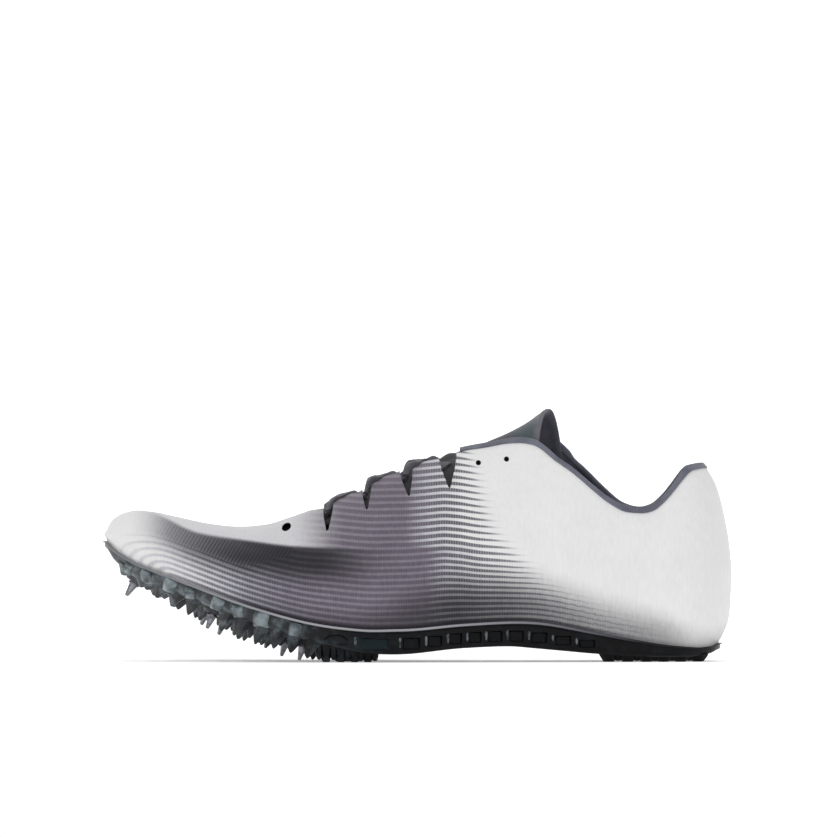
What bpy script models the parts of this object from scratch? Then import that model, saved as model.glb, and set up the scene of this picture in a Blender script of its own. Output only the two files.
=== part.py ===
"""Track spike shoe, left foot: thin upper, collar binding, tongue, lace, insole, spike plate and steel pins.

Metres, Z up, toe towards -X, lateral side towards -Y.
A station runs from 0 at the plate's toe tip to 1 at its heel.
"""

import math

import bmesh
import bpy
from mathutils import Vector

# Main sizes
PLATE_LENGTH = 0.2730
BALL_WIDTH = 0.0885
INSTEP_HEIGHT = 0.0974
HEEL_HEIGHT = 0.0855
TOE_SPRING = 0.050
ARCH_RISE = 0.0070
SIDE_HEIGHT = 0.0118
HEEL_BULGE = 0.0062
TOE_BULGE = 0.0016

# Walls and clearances
GAP = 0.0003
WALL = 0.0014
RIM = 0.0016
INSOLE_THICKNESS = 0.0022
TONGUE_THICKNESS = 0.0018
TONGUE_DROP = 0.0012
BINDING_HEIGHT = 0.0027
BINDING_PROUD = 0.0006
MEDIAL_RISE = 0.0078

# Ends of the plan outline, as shares of the length
TOE_ROUND = 0.105
HEEL_ROUND = 0.125

# Throat and binding, as stations
THROAT_START = 0.338
THROAT_ROUND = 0.018
BINDING_START = 0.579

# Plan of the plate: half widths and ridge line, as shares of BALL_WIDTH
PLAN = (
    # station, lateral, medial, ridge
    (0.00, 0.250, 0.250, 0.102),
    (0.05, 0.305, 0.283, 0.103),
    (0.10, 0.373, 0.328, 0.101),
    (0.20, 0.486, 0.395, 0.090),
    (0.27, 0.537, 0.430, 0.079),
    (0.33, 0.563, 0.433, 0.067),
    (0.40, 0.565, 0.405, 0.051),
    (0.50, 0.506, 0.325, 0.034),
    (0.60, 0.426, 0.268, 0.017),
    (0.68, 0.376, 0.262, 0.007),
    (0.76, 0.351, 0.288, 0.002),
    (0.84, 0.349, 0.326, 0.000),
    (0.92, 0.350, 0.345, 0.000),
    (1.00, 0.342, 0.342, 0.000),
)

# Underside of the plate and height of its side, as shares of TOE_SPRING, ARCH_RISE and SIDE_HEIGHT
PROFILE = (
    # station, toe, arch, side, tuck, crown
    (0.000, 1.000, 0.00, 0.24, 0.10, 0.0),
    (0.015, 0.885, 0.00, 0.46, 0.30, 0.2),
    (0.045, 0.750, 0.00, 0.60, 0.60, 0.7),
    (0.094, 0.642, 0.00, 0.60, 0.90, 1.0),
    (0.158, 0.512, 0.00, 0.60, 1.00, 1.0),
    (0.218, 0.390, 0.00, 0.60, 1.00, 1.0),
    (0.270, 0.296, 0.00, 0.62, 1.00, 1.0),
    (0.320, 0.214, 0.00, 0.66, 0.95, 0.9),
    (0.372, 0.138, 0.00, 0.76, 0.90, 0.6),
    (0.423, 0.086, 0.00, 0.86, 0.80, 0.3),
    (0.480, 0.050, 0.13, 0.94, 0.75, 0.1),
    (0.587, 0.018, 0.74, 0.91, 0.70, 0.0),
    (0.656, 0.000, 0.97, 0.93, 0.70, 0.0),
    (0.700, 0.000, 0.84, 0.98, 0.70, 0.0),
    (0.796, 0.000, 0.50, 0.80, 0.65, 0.0),
    (0.850, 0.000, 0.37, 0.64, 0.60, 0.0),
    (0.905, 0.000, 0.31, 0.46, 0.50, 0.0),
    (0.955, 0.000, 0.33, 0.34, 0.40, 0.0),
    (0.985, 0.000, 0.52, 0.27, 0.25, 0.0),
    (1.000, 0.000, 0.78, 0.22, 0.10, 0.0),
)

# Level that the tips of the forefoot's teeth reach, as a share of TOE_SPRING
TREAD = (
    # station, height
    (0.020, 0.735),
    (0.078, 0.560),
    (0.126, 0.430),
    (0.175, 0.300),
    (0.218, 0.190),
    (0.249, 0.140),
    (0.304, 0.075),
    (0.338, 0.022),
    (0.352, 0.004),
)
TUCK = 0.0050
CROWN = 0.0024
BED_SHARE = 0.60
# The plate's rounded rim, and how far its side wall steps back under it
RIM_ROUND = 0.0003
SIDE_STEP = 0.0009
PLATE_SECTIONS = 34

# Top line of the upper: height as a share of the instep and heel heights, opening as a share of BALL_WIDTH
TOPLINE = (
    # station, height, opening
    (0.000, 0.575, 0.055),
    (0.015, 0.638, 0.055),
    (0.031, 0.669, 0.055),
    (0.050, 0.681, 0.055),
    (0.079, 0.674, 0.055),
    (0.126, 0.648, 0.055),
    (0.175, 0.622, 0.055),
    (0.225, 0.608, 0.055),
    (0.265, 0.618, 0.055),
    (0.300, 0.648, 0.055),
    (0.339, 0.682, 0.055),
    (0.357, 0.690, 0.057),
    (0.374, 0.732, 0.058),
    (0.420, 0.770, 0.062),
    (0.435, 0.809, 0.064),
    (0.480, 0.855, 0.070),
    (0.501, 0.884, 0.073),
    (0.543, 0.914, 0.082),
    (0.579, 0.948, 0.106),
    (0.620, 0.968, 0.154),
    (0.656, 0.986, 0.188),
    (0.676, 0.989, 0.211),
    (0.698, 0.981, 0.236),
    (0.737, 0.911, 0.270),
    (0.763, 0.861, 0.284),
    (0.787, 0.804, 0.292),
    (0.812, 0.752, 0.296),
    (0.837, 0.726, 0.296),
    (0.861, 0.734, 0.292),
    (0.880, 0.758, 0.286),
    (0.901, 0.812, 0.278),
    (0.924, 0.882, 0.268),
    (0.948, 0.946, 0.258),
    (0.972, 0.987, 0.248),
    (1.000, 0.999, 0.240),
)

# How far the upper swells past its own foot, where its widest level lies, and how square its arch is
SWELL = (
    # station, lateral, medial, level, power
    (0.00, 1.00, 1.00, 0.35, 2.0),
    (0.10, 1.03, 1.03, 0.32, 2.2),
    (0.20, 1.05, 1.05, 0.30, 2.2),
    (0.33, 1.06, 1.06, 0.28, 2.0),
    (0.45, 1.05, 1.07, 0.26, 1.9),
    (0.55, 1.06, 1.18, 0.26, 1.9),
    (0.66, 1.08, 1.28, 0.28, 2.0),
    (0.76, 1.10, 1.20, 0.30, 2.2),
    (0.86, 1.10, 1.12, 0.32, 2.3),
    (1.00, 1.10, 1.10, 0.34, 2.3),
)

# Back of the heel: how far it stands out from the plate's end, as shares of HEEL_HEIGHT and HEEL_BULGE
HEEL_CURVE = (
    # height, stand
    (0.09, 0.00),
    (0.13, 0.28),
    (0.22, 0.76),
    (0.32, 0.90),
    (0.47, 0.95),
    (0.60, 0.81),
    (0.77, 0.39),
    (0.86, 0.08),
    (0.93, -0.29),
    (0.98, -0.68),
    (1.04, -1.20),
)

# Centre line of the tongue, as a share of INSTEP_HEIGHT
TONGUE_RISE = (
    # station, height
    (0.290, 0.606),
    (0.340, 0.650),
    (0.357, 0.660),
    (0.420, 0.740),
    (0.480, 0.828),
    (0.543, 0.895),
    (0.579, 0.936),
    (0.620, 0.988),
    (0.656, 1.030),
    (0.690, 1.079),
    (0.722, 1.140),
    (0.760, 1.186),
)
TONGUE_START = 0.290
TONGUE_TIP = 0.726
TONGUE_SKEW = 0.028
TONGUE_FLARE = 0.005
TONGUE_WIDTHS = (
    # station, half width as a share of BALL_WIDTH
    (0.29, 0.190),
    (0.36, 0.250),
    (0.45, 0.270),
    (0.58, 0.280),
    (0.66, 0.280),
    (0.76, 0.275),
)

# Lace notches in each edge of the throat: mouth and tip seen from the side
NOTCHES = (
    # front, back, tip as stations, depth as a share of INSTEP_HEIGHT
    (0.357, 0.374, 0.3645, 0.122),
    (0.420, 0.435, 0.4275, 0.105),
    (0.480, 0.501, 0.4950, 0.132),
    (0.543, 0.5715, 0.5600, 0.150),
)
LACE_WIDTH = 0.0046
LACE_THICKNESS = 0.0012
LACE_END_WIDTH = 0.0018
LACE_DIP = 0.0008
STRAP_SHARES = (0.0, 0.04, 0.08, 0.15, 0.27, 0.42, 0.58, 0.73, 0.85, 0.92, 0.96, 1.0)

# Moulded teeth of the forefoot: rows across the plate, from the lateral to the medial edge
TEETH = (
    # across, first station, last station, count, half base
    (-0.95, 0.030, 0.338, 12, 0.0032),
    (0.95, 0.030, 0.338, 12, 0.0032),
    (-0.52, 0.085, 0.345, 8, 0.0028),
    (0.52, 0.085, 0.345, 8, 0.0028),
    (0.00, 0.040, 0.335, 9, 0.0028),
)
TOOTH_TIP = 0.0005
# Lugs that stand on the floor, under the ball and under the heel
LUGS = (
    # across, first station, last station, count, half base, half foot
    (-0.85, 0.362, 0.432, 4, 0.0026, 0.0012),
    (0.85, 0.362, 0.432, 4, 0.0026, 0.0012),
    (-0.48, 0.362, 0.432, 4, 0.0028, 0.0013),
    (0.48, 0.362, 0.432, 4, 0.0028, 0.0013),
    (-0.80, 0.815, 0.966, 6, 0.0034, 0.0019),
    (0.80, 0.815, 0.966, 6, 0.0034, 0.0019),
    (-0.36, 0.815, 0.966, 6, 0.0034, 0.0019),
    (0.36, 0.815, 0.966, 6, 0.0034, 0.0019),
)
# Flat pads that carry the mounts on the floor
PADS = (
    # station, half length, half width
    (0.400, 0.0060, 0.0090),
    (0.892, 0.0060, 0.0090),
)

# Spike pins and the pods that hold them
PINS = (
    # station, across
    (0.046, -0.42),
    (0.046, 0.42),
    (0.176, -0.70),
    (0.165, 0.70),
    (0.194, 0.00),
    (0.271, 0.72),
    (0.296, 0.00),
    (0.326, -0.70),
)
PIN_LENGTH = 0.0066
PIN_RADIUS = 0.0026
PIN_TIP = 0.0005
PIN_FLANGE = 0.0009
PIN_SHANK = 0.0018
PIN_SEAT = 0.0022
PIN_SIDES = 8
POD_RADIUS = 0.0044
POD_HEIGHT = 0.0016

# Hollows in the side of the plate
HOLLOWS = (
    # station, half length, lower end, upper end as shares of the side
    (0.378, 0.0058, 0.10, 0.62),
    (0.440, 0.0066, 0.12, 0.66),
    (0.500, 0.0040, 0.16, 0.64),
    (0.538, 0.0032, 0.16, 0.64),
    (0.571, 0.0028, 0.18, 0.64),
    (0.602, 0.0028, 0.18, 0.64),
    (0.634, 0.0032, 0.18, 0.64),
    (0.668, 0.0032, 0.18, 0.64),
    (0.704, 0.0036, 0.20, 0.62),
    (0.742, 0.0036, 0.22, 0.60),
    (0.780, 0.0036, 0.24, 0.58),
)
HOLLOW_DEPTH = 0.0011

LATERAL = -1
MEDIAL = 1


def read(table, column, key):
    """Value of a table's column at a key, on a smooth curve through its rows."""
    if key <= table[0][0]:
        return table[0][column]
    if key >= table[-1][0]:
        return table[-1][column]
    last = len(table) - 1
    i = max(n for n in range(last) if table[n][0] <= key)
    x0, x1 = table[i][0], table[i + 1][0]
    y0, y1 = table[i][column], table[i + 1][column]

    def slope(n):
        if n in (0, last):
            return 0.0
        before = (table[n][column] - table[n - 1][column]) / (table[n][0] - table[n - 1][0])
        after = (table[n + 1][column] - table[n][column]) / (table[n + 1][0] - table[n][0])
        return 2 * before * after / (before + after) if before * after > 0 else 0.0

    step = x1 - x0
    t = (key - x0) / step
    blend = t * t * (3 - 2 * t)
    lead = step * slope(i) * t * (1 - t) ** 2
    tail = step * slope(i + 1) * t * t * (t - 1)
    return y0 + (y1 - y0) * blend + lead + tail


def ease(value, start, end):
    """Smooth step from 0 at start to 1 at end."""
    t = min(max((value - start) / (end - start), 0.0), 1.0)
    return t * t * (3 - 2 * t)


def round_end(station):
    """Share of the width that the rounded toe and heel leave at a station."""
    share = 1.0
    if station < TOE_ROUND:
        share = math.sqrt(max(1 - (1 - station / TOE_ROUND) ** 2, 0.0))
    if station > 1 - HEEL_ROUND:
        share = math.sqrt(max(1 - (1 - (1 - station) / HEEL_ROUND) ** 2, 0.0))
    return share


def remap(t):
    """Station for an even parameter: crowded at the two ends, where the outline turns."""
    soft = 0.10
    if t < soft:
        value = t * t / (2 * soft)
    elif t > 1 - soft:
        value = 1 - soft - (1 - t) ** 2 / (2 * soft)
    else:
        value = t - soft / 2
    return value / (1 - soft)


def outline_point(t, side):
    """Point of the plate's edge in plan at an even parameter."""
    station = remap(min(max(t, 0.0), 1.0))
    half = read(PLAN, 1 if side == LATERAL else 2, station) * BALL_WIDTH * round_end(station)
    return Vector((station * PLATE_LENGTH, read(PLAN, 3, station) * BALL_WIDTH + side * half))


def outline(t, side, inset):
    """The same point moved inwards by the inset, square to the edge."""
    step = 0.002
    here = outline_point(t, side)
    if t < step:
        return Vector((here.x + inset, here.y))
    if t > 1 - step:
        return Vector((here.x - inset, here.y))
    along = outline_point(t + step, side) - outline_point(t - step, side)
    along.normalize()
    inwards = Vector((along.y, -along.x)) * side
    return here + inwards * inset


def under_height(station):
    return read(PROFILE, 1, station) * TOE_SPRING + read(PROFILE, 2, station) * ARCH_RISE


def lip_height(station):
    return under_height(station) + read(PROFILE, 3, station) * SIDE_HEIGHT


def bed_height(station):
    return under_height(station) + BED_SHARE * read(PROFILE, 3, station) * SIDE_HEIGHT


def top_height(station, side):
    """Height of the upper's top line, or of its ridge in front of the throat."""
    weight = ease(station, 0.72, 0.95)
    height = read(TOPLINE, 1, station) * (INSTEP_HEIGHT * (1 - weight) + HEEL_HEIGHT * weight)
    if side == MEDIAL:
        height += MEDIAL_RISE * ease(station, 0.66, 0.72) * (1 - ease(station, 0.765, 0.865))
    return height


def opening(station):
    """Half width of the throat or collar at the top line."""
    if station <= THROAT_START:
        return 0.0
    front = min((station - THROAT_START) / THROAT_ROUND, 1.0)
    start = math.sqrt(1 - (1 - front) ** 2)
    return read(TOPLINE, 2, station) * BALL_WIDTH * start * round_end(station)


def heel_shift(station, height):
    """How far the heel's back curve moves a point along the shoe."""
    share = ease(station, 0.60, 1.0)
    return share * HEEL_BULGE * read(HEEL_CURVE, 1, height / HEEL_HEIGHT)


def toe_shift(station, height, lip):
    """How far the toe's front stands out over the rim."""
    share = 1 - ease(station, 0.0, 0.05)
    return -TOE_BULGE * share * ease(height, lip, lip + 0.004)


def half_section(t, side):
    """Sizes of one half of the upper's section at an even parameter."""
    station = remap(t)
    foot = outline(t, side, RIM + GAP)
    other = outline(t, -side, RIM + GAP)
    ridge = Vector(((foot.x + other.x) / 2, read(PLAN, 3, station) * BALL_WIDTH))
    if t <= 0.0 or t >= 1.0:
        ridge = foot.copy()
    reach = (foot - ridge).length
    widest = reach * read(SWELL, 1 if side == LATERAL else 2, station)
    lip = lip_height(station)
    top = top_height(station, side)
    level = lip + read(SWELL, 3, station) * (top - lip)
    power = read(SWELL, 4, station)
    edge = min(opening(station), 0.92 * widest)
    share = (1 - (edge / widest) ** power) ** (1 / power) if widest > 1e-6 else 1.0
    return {
        "station": station, "foot": foot, "ridge": ridge, "reach": reach, "widest": widest, "lip": lip,
        "level": level, "power": power, "edge": edge, "crest": level + (top - level) / share,
    }


def place(section, width, height):
    """Point in space from a width across the section and a height."""
    station = section["station"]
    across = section["foot"] - section["ridge"]
    share = width / section["reach"] if section["reach"] > 1e-6 else 0.0
    spot = section["ridge"] + across * share
    shift = heel_shift(station, height) + toe_shift(station, height, section["lip"])
    return Vector((spot.x + shift, spot.y, height))


# Facets of the upper
SECTIONS = 36
COLLAR_TURN = 0.76
LOWER_ROWS = 4
UPPER_ROWS = 6


def upper_column(t, side):
    """Points of the upper's outer face from its foot to its top line at one station."""
    section = half_section(t, side)
    station = section["station"]
    reach, widest = section["reach"], section["widest"]
    points = [place(section, reach, bed_height(station) + GAP)]
    start = section["lip"] + 0.0002
    for row in range(LOWER_ROWS - 1):
        share = row / (LOWER_ROWS - 2)
        width = reach + (widest - reach) * (1 - (1 - share) ** 2)
        points.append(place(section, width, start + (section["level"] - start) * share))
    power = section["power"]
    last = math.acos(min((section["edge"] / widest) ** (power / 2), 1.0)) if widest > 1e-6 else math.pi / 2
    for row in range(1, UPPER_ROWS + 1):
        angle = last * row / UPPER_ROWS
        width = widest * max(math.cos(angle), 0.0) ** (2 / power)
        height = section["level"] + (section["crest"] - section["level"]) * math.sin(angle) ** (2 / power)
        points.append(place(section, width, height))
    return points


def arch_point(t, across, lift, crest_height=None):
    """Point of the closed arch over the throat, a width across from the ridge, lifted off the upper."""
    side = LATERAL if across < 0 else MEDIAL
    section = half_section(t, side)
    crest = crest_height
    if crest is None:
        other = half_section(t, -side)
        near = 1 - min(abs(across) / max(section["edge"], 0.001), 1.0)
        crest = section["crest"] + (other["crest"] - section["crest"]) * near / 2
    span = section["widest"] + lift
    share = min(abs(across) / span, 0.98)
    rise = (1 - share ** section["power"]) ** (1 / section["power"])
    return place(section, abs(across), section["level"] + (crest + lift - section["level"]) * rise)


def arch_normal(t, across):
    """Direction out of the arch at a width across from the ridge."""
    wide = arch_point(t, across + 0.002, 0.0) - arch_point(t, across - 0.002, 0.0)
    along = arch_point(t + 0.012, across, 0.0) - arch_point(t - 0.012, across, 0.0)
    return along.cross(wide).normalized()


def even_parameter(station):
    """Even parameter of a station."""
    low, high = 0.0, 1.0
    for _ in range(40):
        middle = (low + high) / 2
        if remap(middle) < station:
            low = middle
        else:
            high = middle
    return (low + high) / 2


def material(name, colour, roughness, metallic=0.0):
    made = bpy.data.materials.new(name)
    made.use_nodes = True
    shader = made.node_tree.nodes["Principled BSDF"]
    shader.inputs["Base Color"].default_value = (*colour, 1.0)
    shader.inputs["Roughness"].default_value = roughness
    shader.inputs["Metallic"].default_value = metallic
    return made


def new_object(name, bm, colour, roughness, metallic=0.0):
    """Object from a bmesh, with its own material."""
    bmesh.ops.recalc_face_normals(bm, faces=bm.faces)
    mesh = bpy.data.meshes.new(name)
    bm.to_mesh(mesh)
    bm.free()
    thing = bpy.data.objects.new(name, mesh)
    bpy.context.scene.collection.objects.link(thing)
    if colour is not None:
        mesh.materials.append(material(name + "_material", colour, roughness, metallic))
    return thing


def apply_boolean(target, cutter, operation):
    """Runs an exact Boolean with a closed cutter and removes the cutter."""
    cutter.hide_render = True
    cutter.display_type = "WIRE"
    modifier = target.modifiers.new("cut", "BOOLEAN")
    modifier.operation = operation
    modifier.solver = "EXACT"
    modifier.use_self = True
    modifier.object = cutter
    bake_modifiers(target)
    bpy.data.objects.remove(cutter)


def bake_modifiers(thing):
    """Replaces the object's mesh by the one its modifiers give."""
    graph = bpy.context.evaluated_depsgraph_get()
    graph.update()
    mesh = bpy.data.meshes.new_from_object(thing.evaluated_get(graph))
    thing.modifiers.clear()
    thing.data = mesh


def grid_faces(bm, columns):
    """Quads between neighbouring columns of vertices, leaving out sides that have shrunk to a point."""
    for left, right in zip(columns, columns[1:]):
        for low in range(len(left) - 1):
            corners = []
            for vert in (left[low], left[low + 1], right[low + 1], right[low]):
                if vert not in corners:
                    corners.append(vert)
            if len(corners) > 2:
                bm.faces.new(corners)


def upper_parameters():
    """Even parameters of the upper's sections, with its own ones where the throat opens and at each notch."""
    marks = [THROAT_START + THROAT_ROUND * share for share in (0.0, 0.12, 0.45)]
    marks += [notch[0] for notch in NOTCHES] + [notch[1] for notch in NOTCHES] + [BINDING_START]
    values = [even_parameter(mark) for mark in marks]
    even = [n / SECTIONS for n in range(SECTIONS + 1)]
    even += [(n + 0.5) / SECTIONS for n in range(SECTIONS) if COLLAR_TURN < n / SECTIONS < 0.95]
    for value in even:
        if min(abs(value - other) for other in values) > 0.3 / SECTIONS:
            values.append(value)
    return sorted(values)


def build_upper():
    """Thin shell from the section tables, open at the collar, the throat, the notches and underneath."""
    bm = bmesh.new()
    parameters = upper_parameters()
    columns = {LATERAL: [], MEDIAL: []}
    for t in parameters:
        left = upper_column(t, LATERAL)
        right = upper_column(t, MEDIAL)
        left_verts = [bm.verts.new(p) for p in left]
        if t <= 0.0 or t >= 1.0:
            right_verts = left_verts
        else:
            right_verts = [bm.verts.new(p) for p in right[:-1]]
            closed = remap(t) <= THROAT_START + 1e-6
            right_verts.append(left_verts[-1] if closed else bm.verts.new(right[-1]))
        columns[LATERAL].append(left_verts)
        columns[MEDIAL].append(right_verts)
    grid_faces(bm, columns[LATERAL])
    grid_faces(bm, [list(reversed(c)) for c in columns[MEDIAL]])
    bmesh.ops.recalc_face_normals(bm, faces=bm.faces)
    bm.normal_update()
    if sum(f.normal.y * f.calc_center_median().y for f in bm.faces) < 0:
        bmesh.ops.reverse_faces(bm, faces=bm.faces)
        bm.normal_update()

    rim = []
    for side, order in ((LATERAL, 1), (MEDIAL, -1)):
        run = []
        for t, column in zip(parameters, columns[side]):
            if remap(t) >= BINDING_START - 1e-4:
                edge, below = column[-1], column[-2]
                up = edge.co - below.co
                up -= edge.normal * up.dot(edge.normal)
                run.append((edge.co.copy(), edge.normal.copy(), up.normalized()))
        rim += run if order > 0 else list(reversed(run))[1:]

    outer = list(bm.verts)
    skin = list(bm.faces)
    border = [e for e in bm.edges if len(e.link_faces) == 1]
    inner = {v: bm.verts.new(v.co - v.normal * WALL * min(v.calc_shell_factor(), 1.4)) for v in outer}
    for face in skin:
        bm.faces.new([inner[v] for v in reversed(face.verts)])
    for edge in border:
        a, b = edge.verts
        bm.faces.new((a, b, inner[b], inner[a]))
    upper = new_object("upper", bm, (0.62, 0.61, 0.64), 0.62)
    cut_notches(upper)
    return upper, rim


def cut_notches(upper):
    """Wedges cut through the edges of the throat, where the lace passes."""
    bm = bmesh.new()
    for front, back, tip, depth in NOTCHES:
        high = top_height(back, LATERAL) + 0.012
        low = top_height(tip, LATERAL) - depth * INSTEP_HEIGHT
        shape = (
            (front * PLATE_LENGTH, top_height(front, LATERAL)),
            (front * PLATE_LENGTH, high),
            (back * PLATE_LENGTH, high),
            (back * PLATE_LENGTH, top_height(back, LATERAL) - 0.1 * depth * INSTEP_HEIGHT),
            ((tip + 0.0025) * PLATE_LENGTH, low),
            ((tip - 0.0025) * PLATE_LENGTH, low),
        )
        middle = read(PLAN, 3, tip) * BALL_WIDTH
        for side in (LATERAL, MEDIAL):
            near = [bm.verts.new((x, middle + side * 0.001, z)) for x, z in shape]
            far = [bm.verts.new((x, middle + side * 0.036, z)) for x, z in shape]
            bm.faces.new(near)
            bm.faces.new(far)
            for i in range(len(shape)):
                j = (i + 1) % len(shape)
                bm.faces.new((near[i], near[j], far[j], far[i]))
    apply_boolean(upper, new_object("notch_cutter", bm, None, 0), "DIFFERENCE")


def build_binding(rim):
    """Rounded band that continues the upper's edge round the collar."""
    bm = bmesh.new()
    outside = BINDING_PROUD
    inside = -WALL - BINDING_PROUD
    soft = 0.0007
    profile = (
        (outside, GAP), (outside, BINDING_HEIGHT - soft), (outside - soft, BINDING_HEIGHT),
        (inside + soft, BINDING_HEIGHT), (inside, BINDING_HEIGHT - soft), (inside, GAP),
    )
    rings = []
    for spot, normal, up in rim:
        rings.append([bm.verts.new(spot + normal * out + up * high) for out, high in profile])
    sweep_faces(bm, rings)
    return new_object("collar_binding", bm, (0.085, 0.095, 0.13), 0.75)


def sweep_faces(bm, rings):
    """Closed tube through rings of equal size, with flat ends."""
    for a, b in zip(rings, rings[1:]):
        for i in range(len(a)):
            j = (i + 1) % len(a)
            bm.faces.new((a[i], a[j], b[j], b[i]))
    bm.faces.new(rings[0])
    bm.faces.new(rings[-1])


def tongue_point(share, across, depth):
    """Point of the tongue: share along it, -1 to 1 across it, and depth under its outer face."""
    end = TONGUE_TIP + TONGUE_SKEW * across + TONGUE_FLARE * across * across
    station = TONGUE_START + share * (end - TONGUE_START)
    t = even_parameter(station)
    width = read(TONGUE_WIDTHS, 1, station) * BALL_WIDTH * across
    lift = -WALL - TONGUE_DROP - depth
    crest = read(TONGUE_RISE, 1, station) * INSTEP_HEIGHT - lift - depth
    return arch_point(t, width, lift, crest)


def build_tongue():
    """Thin tongue under the throat, its top standing out of the collar."""
    bm = bmesh.new()
    along, wide = 14, 8
    sheets = []
    for depth in (0.0, TONGUE_THICKNESS):
        sheet = []
        for i in range(along + 1):
            row = [bm.verts.new(tongue_point(i / along, 2 * j / wide - 1, depth)) for j in range(wide + 1)]
            sheet.append(row)
        sheets.append(sheet)
    outer, inner = sheets
    for i in range(along):
        for j in range(wide):
            bm.faces.new((outer[i][j], outer[i][j + 1], outer[i + 1][j + 1], outer[i + 1][j]))
            bm.faces.new((inner[i][j], inner[i + 1][j], inner[i + 1][j + 1], inner[i][j + 1]))
    for i in range(along):
        for j in (0, wide):
            bm.faces.new((outer[i][j], outer[i + 1][j], inner[i + 1][j], inner[i][j]))
    for i in (0, along):
        for j in range(wide):
            bm.faces.new((outer[i][j], inner[i][j], inner[i][j + 1], outer[i][j + 1]))
    return new_object("tongue", bm, (0.075, 0.075, 0.10), 0.8)


def notch_spot(index, side, share, lift):
    """Point in a notch: share of its depth below the top line, moved off the upper's face by the lift."""
    front, back, tip, depth = NOTCHES[index]
    station = (front + back) / 2 * (1 - share) + tip * share
    t = even_parameter(station)
    section = half_section(t, side)
    height = top_height(station, side) - share * depth * INSTEP_HEIGHT
    rise = (height - section["level"]) / (section["crest"] - section["level"])
    width = section["widest"] * (1 - rise ** section["power"]) ** (1 / section["power"])
    return arch_point(t, side * width, lift)


def strap(parts, start, end, sag):
    """Flat strap between two notches, its ends dipping into them and its middle at a level of its own."""
    a = notch_spot(*start, 0.18, 0.0)
    b = notch_spot(*end, 0.18, 0.0)
    over = 2 * GAP + LACE_THICKNESS / 2
    spots = []
    for share in STRAP_SHARES:
        x = a.x + (b.x - a.x) * share
        station = x / PLATE_LENGTH
        t = even_parameter(station)
        across = a.y + (b.y - a.y) * share - half_section(t, LATERAL)["ridge"].y
        out = abs(2 * share - 1)
        dip = ease(out, 0.85, 0.99)
        narrow = ease(out, 0.55, 0.84)
        inside = 1 - min((abs(across) + 0.6 * LACE_WIDTH) / opening(station), 1.0) ** 2
        spot = arch_point(t, across, over + (sag - over) * inside - dip * (over + LACE_DIP))
        spots.append((Vector((x, spot.y, spot.z)), arch_normal(t, across), narrow))
    rings = []
    for n, (spot, normal, narrow) in enumerate(spots):
        along = (spots[min(n + 1, len(spots) - 1)][0] - spots[max(n - 1, 0)][0]).normalized()
        flat = along.cross(normal).normalized()
        up = flat.cross(along).normalized()
        half = (LACE_WIDTH + (LACE_END_WIDTH - LACE_WIDTH) * narrow) / 2
        thick = LACE_THICKNESS / 2
        shape = ((-1, 0), (-0.8, 1), (0.8, 1), (1, 0), (0.8, -1), (-0.8, -1))
        rings.append([spot + flat * wide * half + up * high * thick for wide, high in shape])
    bm = bmesh.new()
    sweep_faces(bm, [[bm.verts.new(p) for p in ring] for ring in rings])
    parts.append(bm)


def build_lace():
    """Lace lying in crosses over the throat, one bar at its front, joined into one piece."""
    parts = []
    strap(parts, (0, LATERAL), (0, MEDIAL), -0.0007)
    for n in range(len(NOTCHES) - 1):
        strap(parts, (n, LATERAL), (n + 1, MEDIAL), -0.0007)
        strap(parts, (n, MEDIAL), (n + 1, LATERAL), 0.0003)
    lace = new_object("lace", parts[0], (0.080, 0.080, 0.095), 0.8)
    for n, bm in enumerate(parts[1:]):
        apply_boolean(lace, new_object("lace_part_%d" % n, bm, None, 0), "UNION")
    return lace


def build_insole():
    """Thin liner lying on the plate's bed inside the upper."""
    bm = bmesh.new()
    inset = RIM + GAP + WALL + GAP
    count = 32
    low, high = [], []
    for n in range(count + 1):
        t = n / count
        station = remap(t)
        base = bed_height(station) + GAP
        left = outline(t, LATERAL, inset)
        right = outline(t, MEDIAL, inset)
        for level, rows in ((base, low), (base + INSOLE_THICKNESS, high)):
            if n in (0, count):
                vert = bm.verts.new((left.x, left.y, level))
                rows.append([vert, vert])
            else:
                rows.append([bm.verts.new((p.x, p.y, level)) for p in (left, right)])
    grid_faces(bm, low)
    grid_faces(bm, high)
    for column in (0, 1):
        grid_faces(bm, [[a[column], b[column]] for a, b in zip(low, high)])
    return new_object("insole", bm, (0.04, 0.04, 0.05), 0.85)


def plate_ring(t):
    """Insets and heights from the bed over the rim to the underside, then the bed's and keel's heights."""
    station = remap(t)
    under = under_height(station)
    side_height = read(PROFILE, 3, station) * SIDE_HEIGHT
    lip = lip_height(station)
    bed = bed_height(station)
    tuck = TUCK * read(PROFILE, 4, station)
    crown = CROWN * read(PROFILE, 5, station)
    rows = (
        (RIM, bed),
        (RIM, lip),
        (RIM_ROUND, lip),
        (0.0, lip - 0.04 * side_height),
        (0.0, lip - 0.13 * side_height),
        (0.8 * SIDE_STEP, lip - 0.19 * side_height),
        (SIDE_STEP, under + 0.42 * side_height),
        (SIDE_STEP + 0.35 * tuck, under + 0.12 * side_height),
        (SIDE_STEP + tuck, under - 0.15 * crown),
    )
    return rows, bed, under - crown


def plate_underside(station, across):
    """Point of the plate's underside, across from -1 at the lateral to 1 at the medial side."""
    t = even_parameter(station)
    side = LATERAL if across < 0 else MEDIAL
    rows, _, low = plate_ring(t)
    corner = outline(t, side, rows[-1][0])
    other = outline(t, -side, rows[-1][0])
    middle = (corner + other) / 2
    spot = middle + (corner - middle) * abs(across)
    height = low + (rows[-1][1] - low) * abs(across) ** 2
    return Vector((spot.x, spot.y, height))


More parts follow.
